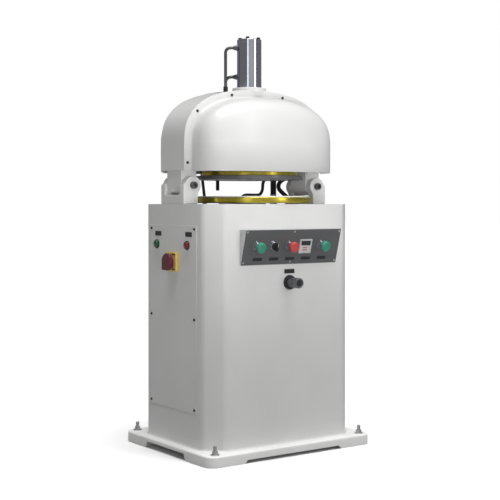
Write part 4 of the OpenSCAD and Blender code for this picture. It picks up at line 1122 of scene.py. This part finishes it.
def add_light(name, place, target, size, power, beam=180, mirrored=True):
    """A lamp box aimed at a target; one that isn't mirrored leaves no reflection of itself."""
    data = bpy.data.lights.new(name, "AREA")
    data.shape = "RECTANGLE"
    data.size, data.size_y = size
    data.energy = power
    data.spread = math.radians(beam)
    light = bpy.data.objects.new(name, data)
    light.location = place
    aim = Vector(target) - Vector(place)
    light.rotation_euler = aim.to_track_quat("-Z", "Y").to_euler()
    light.visible_camera = False
    light.visible_glossy = mirrored
    bpy.context.scene.collection.objects.link(light)


def add_overhead():
    """A broad ceiling of light, far off, so that the floor is evenly white."""
    data = bpy.data.lights.new("ceiling", "SUN")
    data.energy = CEILING
    data.angle = CEILING_SPREAD
    light = bpy.data.objects.new("ceiling", data)
    light.rotation_euler = (CEILING_TILT, 0, 0)
    bpy.context.scene.collection.objects.link(light)


def add_backdrop():
    """A white backdrop that itself lights the object only dimly, more so from the front."""
    world = bpy.data.worlds.new("studio")
    bpy.context.scene.world = world
    world.use_nodes = True
    tree = world.node_tree
    way = tree.nodes.new("ShaderNodeVectorMath")
    way.operation = "DOT_PRODUCT"
    way.inputs[1].default_value = FRONT_WAY
    tree.links.new(tree.nodes.new("ShaderNodeTexCoord").outputs["Generated"], way.inputs[0])
    front = tree.nodes.new("ShaderNodeMapRange")
    front.interpolation_type = "SMOOTHSTEP"
    limits = ("From Min", "From Max", "To Min", "To Max")
    for socket, value in zip(limits, (*FRONT_EDGES, ROOM, ROOM_FRONT)):
        front.inputs[socket].default_value = value
    tree.links.new(way.outputs["Value"], front.inputs["Value"])
    level = tree.nodes.new("ShaderNodeMapRange")
    level.inputs["To Max"].default_value = 1.0
    tree.links.new(tree.nodes.new("ShaderNodeLightPath").outputs["Is Camera Ray"], level.inputs["Value"])
    tree.links.new(front.outputs["Result"], level.inputs["To Min"])
    sky = tree.nodes["Background"]
    sky.inputs["Color"].default_value = (1, 1, 1, 1)
    tree.links.new(level.outputs["Result"], sky.inputs["Strength"])


def add_lights():
    """A bright room with a key light, a side strip and a soft lamp under the dome."""
    bpy.context.scene.view_settings.view_transform = "Standard"
    add_backdrop()
    add_overhead()
    add_light("key", place=(1.9, -4.7, 2.5), target=(0, 0, 1.3), size=(1.1, 3.4), power=40)
    add_light("strip", place=(-3.6, -3.3, 1.9), target=(0, 0, 1.3), size=(0.8, 2.6), power=10)
    add_light("head_front", place=(-0.6, -1.7, 0.85), target=(0, -0.27, 1.1), size=(0.7, 0.7), power=1.7,
              beam=54, mirrored=False)


add_camera()
base_plate()
dress("levelling_feet", 0.8)
cabinet()
dress("deck_plate", 0.8, pierced=True)
dress("left_panel", 0.8)
dress("rear_panel", 0.5, pierced=True)
louvre_hoods()
button_screws("panel_screws", panel_outward, 4.5 * MM, 4 * MM)
side_controls()
console()
adjuster()
head()
cylinder()
hoses()
press()
table()
drive()
add_floor()
add_lights()
